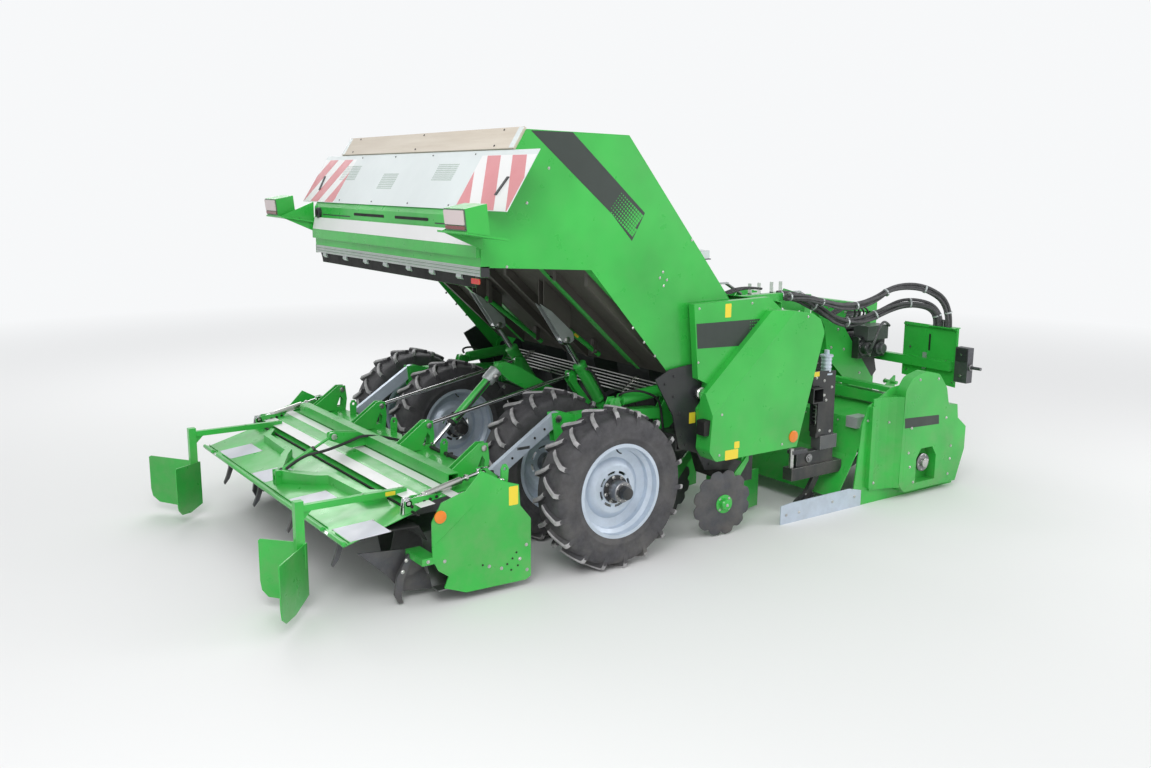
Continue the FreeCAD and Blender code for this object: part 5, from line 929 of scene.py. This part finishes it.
def front_parts():
    """Marker boxes, coupling, valve block and fittings between planter and tiller."""
    piece = Piece("front_trim", "chassis", 1.0)
    for x, y, z in ((1700, -400, 1985), (1410, -800, 2010)):
        foot = 1712 if x > 1600 else 1600
        piece.tube([(x - 20, y, foot), (x - 20, y, z)], 9, "steel", 10)
        piece.tube([(x - 20, y, 1690), (1716, y, 1690)], 9, "steel", 10)
        piece.box((x - 62, x + 30), (y - 40, y + 40), (z, z + 62), "white")
        piece.box((x - 70, x + 38), (y - 48, y + 48), (z - 8, z), "dark")
        piece.lathe((x - 62, y, z + 31), (-1, 0, 0), [(0, 22), (6, 22), (8, 16)], "grey", 20)
    for y in (-470, 470):
        piece.box((2225, 2860), (y - 20, y + 20), (1634, 1650), "pale_steel")
        for x in (2300, 2560):
            for start, end in ((x - 60, x - 50), (x + 50, x + 60)):
                piece.box((start, end), (y - 18, y + 18), (1650, 1745), "reflex")
            piece.box((x - 60, x + 60), (y - 18, y + 18), (1650, 1660), "reflex")
        piece.tube([(2330, y, 1540), (2330, y, 1640)], 16, "steel", 12)
        piece.tube([(2840, y, 1640), (3080, y + math.copysign(40, y), 1520)], 15, "steel", 12)
    for y in (-620, 560):
        piece.box((1706, 1760), (y, y + 110), (1560, 1690), "dark")
        for number in range(3):
            piece.tube(smooth([(1760, y + 20 + 34 * number, 1640), (1900, y + 20 + 34 * number, 1700),
                               (2100, y + 10 + 30 * number, 1730), (2240, y + 30 * number, 1712)]), 10,
                       "rubber", 8)
    for _ in piece.both():
        piece.prism([(2420, 1600), (2520, 1700), (2700, 1650), (2760, 1500), (2600, 1470)], -606, -598, "green")
        piece.tube([(2560, -600, 1640), (2560, -470, 1640)], 16, "green", 10)
        piece.box((3440, 3800), (-680, -300), (1010, 1210), "dark")
        piece.box((3500, 3780), (-730, -560), (1180, 1310), "grey")
        piece.lathe((3500, -680, 1110), (0, -1, 0), [(0, 74), (16, 74), (20, 58), (70, 56), (80, 44)], "dark", 32)
        piece.lathe((3720, -680, 1090), (0, -1, 0), [(0, 60), (20, 60), (24, 46), (60, 44), (66, 30)], "grey", 32)
        piece.prism([(3440, 1000), (3760, 1000), (3800, 860), (3700, 760), (3560, 800)], -600, -560, "dark")
        for x, z in ((3450, 1190), (3600, 1200), (3790, 1190), (3600, 1030), (3790, 1030)):
            piece.bolt((x, -680, z), size=9)
        piece.tube(smooth([(3500, -760, 1110), (3500, -800, 1150), (3560, -800, 1290), (3680, -760, 1370),
                           (3780, -740, 1300)]), 12, "hose", 10)
    piece.box((3400, 3700), (-470, -270), (1230, 1424), "dark")
    piece.box((3430, 3660), (-500, -470), (1260, 1400), "grey")
    for number in range(4):
        x = 3455 + 60 * number
        piece.lathe((x, -500, 1370), (0, -1, 0), [(0, 17), (22, 17), (30, 12)], "steel", 12)
        piece.lathe((x, -500, 1300), (0, -1, 0), [(0, 15), (28, 15), (32, 9)],
                    "blue" if number == 1 else "dark", 12)
        piece.tube(smooth([(x, -524, 1370), (x, -590, 1360), (x - 30, -640, 1460), (3260, -700, 1500 + 16 * number),
                           (3080, -760, 1490 + 14 * number), (2900, -800, 1440 + 14 * number)]), 9, "rubber", 8)
    piece.lathe((3560, -230, 1180), (0, 1, 0), [(-120, 52), (-110, 66), (60, 66), (70, 56)], "dark", 28)
    for number in range(6):
        piece.lathe((3560, -230, 1180), (0, 1, 0), [(-90 + 24 * number, 70), (-82 + 24 * number, 70)], "grey", 28)
    piece.lathe((3800, 0, 880), (1, 0, 0), [(-10, 90), (6, 90), (14, 84)], "grey", 32)
    piece.lathe((3814, 0, 880), (1, 0, 0), [(-4, 52), (30, 52), (150, 66), (156, 60)], "dark", 32)
    for turn in range(8):
        angle = math.radians(45 * turn)
        piece.bolt((3806, 72 * math.sin(angle), 880 + 72 * math.cos(angle)), (1, 0, 0), 8)
    for x, z in ((3450, 1010), (3450, 900), (3740, 1050), (3770, 800), (3770, 680), (3600, 1090)):
        for _ in piece.both():
            piece.bolt((x, -180, z), size=10)
    piece.tube([(3420, -160, 960), (3320, -160, 900), (3320, 160, 900), (3420, 160, 960)], 14, "rubber", 10)
    for _ in piece.both():
        piece.lathe((4130, -450, 700), (0, 1, 0), [(0, 26), (6, 26), (8, 20)], "bolt", 20)
        for x, z in ((3920, 1400), (3920, 1250), (3920, 700)):
            piece.bolt((x, -450, z), size=10)
        for x, z in ((3100, 1500), (3220, 1500), (3320, 1440), (3240, 1290), (3160, 1130), (3330, 1100),
                     (3560, 860), (3700, 700)):
            piece.bolt((x, -602, z), size=10)
    piece.build()


def tiller():
    piece = Piece("tiller_trim", "chassis")
    for _ in piece.both():
        piece.prism([(2907, 698), (3353, 676), (3362, 597), (2916, 612)], -1651.2, -1650, "decal")
        for x, z in ((2784, 671), (2630, 180)):
            piece.bolt((x, -1590, z), size=9)
        for x, z in ((2983, 395), (3009, 270), (3066, 131), (3545, 381), (3544, 266), (3529, 134), (3073, 1005),
                     (3315, 990), (3456, 639), (3003, 604)):
            piece.bolt((x, -1650, z), size=9)
        piece.tube([(2930, -1648, 150), (2930, -1648, 905)], 3, "green", 6)
        piece.lathe((3220, -1555, 275), (0, -1, 0), [(48, 78), (66, 78), (72, 70), (72, 34)], "steel", 36)
        piece.lathe((3220, -1555, 275), (0, -1, 0), [(66, 40), (92, 38), (96, 28)], "bolt", 28)
        for turn in range(6):
            angle = math.radians(60 * turn + 20)
            piece.bolt((3220 + 62 * math.sin(angle), -1622, 275 + 62 * math.cos(angle)), size=8)
        piece.box((2490, 2640), (-1500, -1390), (636, 726), "pale_steel")
        for x in (1660, 1800, 2180, 2440):
            piece.bolt((x, -1563, 70 if x < 2000 else 90), size=9)
        for x, z in ((2374, 764), (2720, 905)):
            piece.bolt((x + 190, -1555, z - 60), size=9)
    for y in range(-1440, 1441, 180):
        piece.bolt((2543, y, 660), (-0.92, 0, 0.39), 6)
    piece.build()


def looseners():
    piece = Piece("loosener_trim", "chassis", 1.0)
    for _ in piece.both():
        for y, way in ((-1442, -1), (-1358, 1)):
            for x, z in ((2060, 1090), (2150, 1060), (2240, 1000), (2240, 640), (2120, 660), (2180, 900)):
                piece.bolt((x, y, z), (0, way, 0), 9)
        coil = [(2120 + 24 * math.cos(turn * 0.6), -1400 + 24 * math.sin(turn * 0.6), 720 + turn * 3.0)
                for turn in range(96)]
        piece.tube(coil, 6, "steel", 6)
        piece.tube([(2120, -1400, 700), (2120, -1400, 1040)], 10, "bolt", 10)
        piece.lathe((2210, -1400, 1100), (0, 0, 1), [(0, 52), (14, 52), (15, 40), (30, 44), (45, 38), (60, 44),
                                                     (75, 38), (90, 44), (105, 38), (120, 44), (140, 40),
                                                     (142, 52), (158, 52), (160, 22), (196, 20)], "silver", 24)
        for x, y, z, finish in (((1812, 2380), (-1460, -1360), (290, 390), "dark"),
                                ((1880, 2290), (-1440, -1370), (390, 500), "dark"),
                                ((2130, 2320), (-1450, -1350), (500, 610), "grey"),
                                ((1830, 1990), (-1448, -1380), (500, 530), "disc")):
            piece.box(x, y, z, finish)
        piece.lathe((2010, -1440, 450), (0, -1, 0), [(0, 34), (12, 34), (14, 20), (24, 20), (26, 12)], "steel", 24)
        piece.tube([(1840, -1420, 360), (1840, -1420, 545)], 20, "bolt", 16)
        piece.bolt((2030, -1415, 140), size=7)
        piece.prism(rounded((2030, 1100), (2090, 1140), 6), -1443.2, -1442, "sticker")
        piece.bolt((2090, -1500, 960), size=9)
    piece.build()


def shields():
    piece = Piece("shield_trim", "chassis", 1.0)
    for _ in piece.both():
        piece.prism(rounded((-1116, 1105), (-1096, 1261), 9), 3894, 3896, "hole", "x")
        for y, z in ((-899, 1116), (-868, 899), (-1057, 1077), (-1068, 939), (-850, 1316),
                     (-1376, 1310), (-1370, 850), (-1290, 1033)):
            piece.bolt((3896, y, z), (-1, 0, 0), 8)
        piece.box((3880, 3896), (-1396, -824), (1318, 1336), "green")
        piece.box((3884, 3896), (-1396, -1380), (830, 1320), "green")
        piece.box((3888, 3896), (-1084, -1042), (930, 1085), "pale_steel")
        piece.bolt((3870, -1465, 1120), (-1, 0, 0), 10)
        piece.bolt((3870, -1465, 930), (-1, 0, 0), 10)
        piece.lathe((3910, -1530, 1010), (0, -1, 0), [(0, 30), (14, 30), (18, 24)], "steel", 20)
        piece.lathe((3910, -1630, 1010), (0, -1, 0), [(0, 14.5), (8, 14.5), (12, 8)], "steel", 16)
        piece.box((3862, 3870), (-1520, -1412), (1060, 1170), "dark")
        for number in range(6):
            y = -1150 - 22 * number
            piece.tube([(3900 + 14 * (number % 2), y, 1342), (3900 + 14 * (number % 2), y, 1400)], 13, "steel", 10)
    piece.build()


LOWER_ROUTE = [(2230, -800, 1670), (2420, -800, 1670), (2680, -810, 1560), (2960, -830, 1400),
               (3240, -850, 1380), (3480, -910, 1480), (3680, -1000, 1560), (3900, -1180, 1500),
               (3900, -1180, 1342)]
UPPER_ROUTE = [(2230, -910, 1670), (2420, -910, 1670), (2660, -920, 1600), (2940, -930, 1530),
               (3240, -980, 1580), (3460, -1020, 1700), (3700, -1150, 1700), (3900, -1290, 1560),
               (3900, -1290, 1342)]


def hoses():
    """Two bundles of hydraulic hoses, each strand along its bundle's own line."""
    piece = Piece("hose_strands", "chassis")
    for route, strands, spread, thick in ((LOWER_ROUTE, 7, 29, 14), (UPPER_ROUTE, 5, 23, 12)):
        spots = smooth(route)
        side = Vector((0, 1, 0))
        frames = []
        for index, spot in enumerate(spots):
            ahead = (spots[min(index + 1, len(spots) - 1)] - spots[max(index - 1, 0)]).normalized()
            side = (side - ahead * side.dot(ahead)).normalized()
            frames.append((spot, side.copy(), ahead.cross(side), ahead))
        for strand in range(strands):
            ring = spread if strand else 0
            line = []
            for index, (spot, across, other, _) in enumerate(frames):
                turn = 2 * math.pi * strand / max(1, strands - 1) + 0.9 * math.sin(index / 9 + strand)
                reach = ring * (1 + 0.08 * math.sin(index / 4 + 2 * strand))
                line.append(spot + reach * (math.cos(turn) * across + math.sin(turn) * other))
            piece.tube(line, thick, "hose", 10)
        for share in (0.03, 0.22, 0.42, 0.6, 0.8, 0.96):
            spot, _, _, ahead = frames[int(share * (len(frames) - 1))]
            piece.lathe(spot, ahead, [(-7, spread + thick + 1), (7, spread + thick + 1)], "pale_steel", 20)
    piece.build("hose_bundles")


# ---------------------------------------------------------------- ridger
def on_flap(x):
    return 473 + (x + 1893) * 127 / 443


def on_hood(x):
    return 665 + (x + 1300) * 41 / 425


def flat(piece, x, y, height, finish, thick=1.2):
    """A thin plate on the sloping flap or hood."""
    piece.slab([(x[0], y[0], height(x[0]) + 0.2), (x[1], y[0], height(x[1]) + 0.2),
                (x[1], y[1], height(x[1]) + 0.2), (x[0], y[1], height(x[0]) + 0.2)], (0, 0, thick), finish)


def paddle(piece, x, y):
    """One wing of the marker's V blade, from its front edge under the post back to (x, y)."""
    shape = [(0, 440), (0, 104), (0.5, 72), (0.84, 84), (0.97, 128), (1, 190), (1, 446), (0.96, 456)]
    ahead = Vector((x + 2012, y + 1137, 0))
    piece.slab([(-2012 + ahead.x * share, -1137 + ahead.y * share, z) for share, z in shape],
               ahead.cross(Vector((0, 0, 1))).normalized() * 8, "green")


def ridger():
    piece = Piece("ridger_trim", "ridger")
    for middle in (-1257, -506, 262, 1040):
        corners = [(-1842, middle - 140), (-1632, middle - 265), (-1632, middle + 5), (-1842, middle + 140)]
        piece.slab([(x, y, on_flap(x) + 0.2) for x, y in corners], (0, 0, 1.2), "lavender")
        piece.screws([(x, y + lift, on_flap(x) + 1.4) for (x, y), lift in zip(corners, (14, 14, -14, -14))],
                     (0, 0, 1), 6, "bolt")
    for _ in piece.both():
        flat(piece, (-1893, -1876), (-1415, 0), on_flap, "aluminium", 3)
        flat(piece, (-1424, -1326), (-1500, 0), on_hood, "reflex")
        flat(piece, (-1205, -1136), (-1500, 0), on_hood, "reflex")
        reflector(piece, (-1314, -1535, 585), 40)
        piece.prism(rounded((-824, 571), (-756, 695), 6), -1536, -1535, "sticker")
        seam = Vector((289, 0, 216)).normalized()
        side = Vector((-seam.z, 0, seam.x)) * 3
        start, end = Vector((-1366, -1535, 398)), Vector((-1077, -1535, 614))
        piece.slab([start - side, end - side, end + side, start + side], (0, -1.5, 0), "green")
        for x, z in ((-1288, 295), (-973, 197), (-883, 165), (-745, 202), (-695, 288), (-690, 117)):
            piece.bolt((x, -1535, z), size=9)
        piece.screws([(x, -1535.2, z) for x, z in ((-770, 250), (-800, 215), (-840, 185), (-760, 160),
                                                   (-810, 140), (-1020, 215))], size=7, finish="hole")
        piece.box((-866, -794), (-1525, -1410), (700.5, 706), "green")
        for y in (-400, -1180):
            piece.lathe((-820, y - 34, 880), (0, -1, 0), [(0, 20), (8, 20), (10, 14)], "bolt", 16)
            piece.lathe((-820, y + 34, 880), (0, 1, 0), [(0, 20), (8, 20), (10, 14)], "bolt", 16)
            piece.bolt((-860, y - 31, 745), size=7)
            piece.bolt((-800, y - 31, 745), size=7)
        piece.box((-1440, -1340), (-1534, -1300), (292, 336), "green")
        piece.bolt((-1400, -1534, 314), size=9)
        piece.bolt((-1464, -1363, 285), size=10)
        piece.bolt((-1490, -1363, 215), size=10)
    piece.build()
    marker = Piece("marker_arms_dressed", "ridger", 1.5)
    for _ in marker.both():
        marker.box((-2040, -1350), (-1157, -1117), (644, 684), "green")
        marker.box((-2085, -2030), (-1163, -1111), (290, 712), "green")
        marker.prism([(-2031, 645), (-1970, 645), (-2031, 584)], -1141, -1133, "green")
        marker.prism(rounded((-1500, 650), (-1430, 678), 4), -1158.2, -1157, "sticker")
        paddle(marker, -2246, -945)
        paddle(marker, -2302, -1480)
        for z in (330, 400):
            marker.bolt((-2058, -1163, z), size=8)
        for x in (-1400, -1370, -1640):
            marker.bolt((x, -1137, 684), (0, 0, 1), 7)
    marker.build("marker_arms")
    rails = Piece("ridger_rails", "ridger")
    for x, lift in ((-1852, 10), (-1868, 10)):
        for low, high in ((-1415, -1200), (-1075, 1075), (1200, 1415)):
            rails.box((x - 3, x + 3), (low, high), (on_flap(x) - 1, on_flap(x) + lift), "green")
    rails.box((-1447, -1433), (-1500, 1500), (on_flap(-1440) + 1, on_flap(-1440) + 12), "hole")
    rails.prism([(-1850, on_flap(-1850) - 9), (-1600, on_flap(-1600) - 50), (-1400, 500), (-1340, 400),
                 (-1336, 404), (-1392, 508), (-1596, on_flap(-1600) - 44), (-1850, on_flap(-1850) - 5)],
                -1400, 1400, "rubber")
    for low, high in ((-1306, -1298), (1298, 1306)):
        rails.prism([(-1760, 370), (-1560, 180), (-1474, 67), (-1150, 24), (-1150, 84), (-1302, 150), (-1350, 310),
                     (-1467, 340)], low, high, "disc")
    hose = smooth([(-800, 30, 716), (-800, -200, 718), (-808, -500, 720), (-800, -800, 718), (-802, -1080, 718),
                   (-810, -1330, 719), (-830, -1440, 722)])
    rails.tube(hose, 14, "rubber", 10)
    rails.tube(smooth([(-800, -150, 718), (-790, -190, 762), (-760, -260, 772), (-740, -300, 730)]), 11, "rubber", 10)
    rails.lathe((-830, -1440, 722), (-0.2, -1, 0), [(0, 17), (34, 17), (38, 12)], "bolt", 12)
    for y in (-120, -420, -700, -980, -1260):
        rails.box((-824, -776), (y - 9, y + 9), (705, 734), "dark")
    cylinder = Vector((-1784, 0, 576))
    eye = Vector((-1375, 0, 790))
    run = (eye - cylinder).normalized()
    rails.lathe(cylinder, run, [(290, 19), (304, 20), (312, 14)], "dark", 20)
    rails.lathe(cylinder, run, [(22, 20), (40, 20), (42, 17.5)], "dark", 20)
    rails.tube(smooth([cylinder + run * 60 + Vector((0, -24, 0)), cylinder + run * 180 + Vector((0, -42, 26)),
                       (-1470, -64, 700), (-1280, -54, 740), (-1130, -60, 790), (-900, -120, 716)]), 11,
               "rubber", 8)
    rails.lathe((-1375, -38, 790), (0, -1, 0), [(0, 22), (8, 22), (10, 15)], "bolt", 16)
    for side in (-1, 1):
        for outline in ([(-1484, on_flap(-1484) + 2), (-1400, 618), (-1250, 672), (-1238, 690), (-1420, 694),
                         (-1484, 672)],
                        [(-870, 710), (-800, 710), (-910, 803), (-962, 795), (-962, 755)]):
            for y in (-26, 26):
                middle = 1380 * side + y
                rails.prism(outline, middle - 4, middle + 4, "green")
        for number in range(5):
            x = -1440 + 42 * number
            rails.screws([(x, 1380 * side - 30, 640 + 9 * number)], size=11, finish="hole")
        rails.lathe((-1330, 1380 * side, 690), (520, 0, 113), [(0, 24), (250, 24), (254, 18)], "bolt", 20)
        for share in (0.22, 0.8):
            x = -1460 + 520 * share
            rails.lathe((x, 1380 * side, 662 + 113 * share), (520, 0, 113), [(-8, 24), (8, 24)], "bolt", 6)
        for x, z in ((-1460, 662), (-940, 775)):
            rails.bolt((x, 1380 * side - 30, z), size=10)
    rails.build()


def lift_parts():
    """Pins and grease caps of the lift arms, and the lift cylinder's hose."""
    arms = Piece("arm_trim", "arms")
    for _ in arms.both():
        for x, z in ((-200, 990), (-735, 645)):
            arms.lathe((x, -1146, z), (0, -1, 0), [(0, 34), (3, 34), (4, 22)], "steel", 24)
        arms.box((-520, -420), (-1145.6, -1145), (806, 826), "steel")
        for x in (-300, -380, -560, -640):
            z = 990 + (x + 200) * 345 / 535
            arms.screws([(x, -1145, z)], size=9, finish="hole")
    arms.build()
    lift = Piece("lift_cylinder_trim", "lift_barrel")
    head = Vector((-150, -300, 1228))
    run = Vector((-745 + 150, 0, 678 - 1228)).normalized()
    lift.lathe(head, run, [(552, 36), (560, 39), (574, 39), (578, 30)], "dark", 28)
    lift.lathe(head, run, [(40, 44), (46, 50), (150, 50), (156, 44)], "pale_steel", 28)
    lift.lathe(head + run * 96, (0, -1, 0), [(44, 22), (74, 22), (78, 14)], "bolt", 6)
    start = head + run * 540 + Vector((0, -34, 8))
    lift.lathe(start, (0, -1, 0.2), [(-4, 11), (16, 11), (18, 8)], "steel", 12)
    lift.tube(smooth([start + Vector((0, -14, 2)), start + Vector((0, -44, 20)), start + Vector((80, -48, 90)),
                      head + run * 260 + Vector((0, -44, 12)), head + run * 90 + Vector((0, -40, 6))]), 8,
              "rubber", 8)
    lift.build()



bpy.context.scene.view_settings.view_transform = "Standard"
make_camera()
make_studio()
dress_nodes()
all_wheels()
closing_discs()
hopper_sides()
hopper_rear()
hopper_under()
rams()
covers()
frame_sides()
front_parts()
tiller()
looseners()
shields()
hoses()
ridger()
lift_parts()
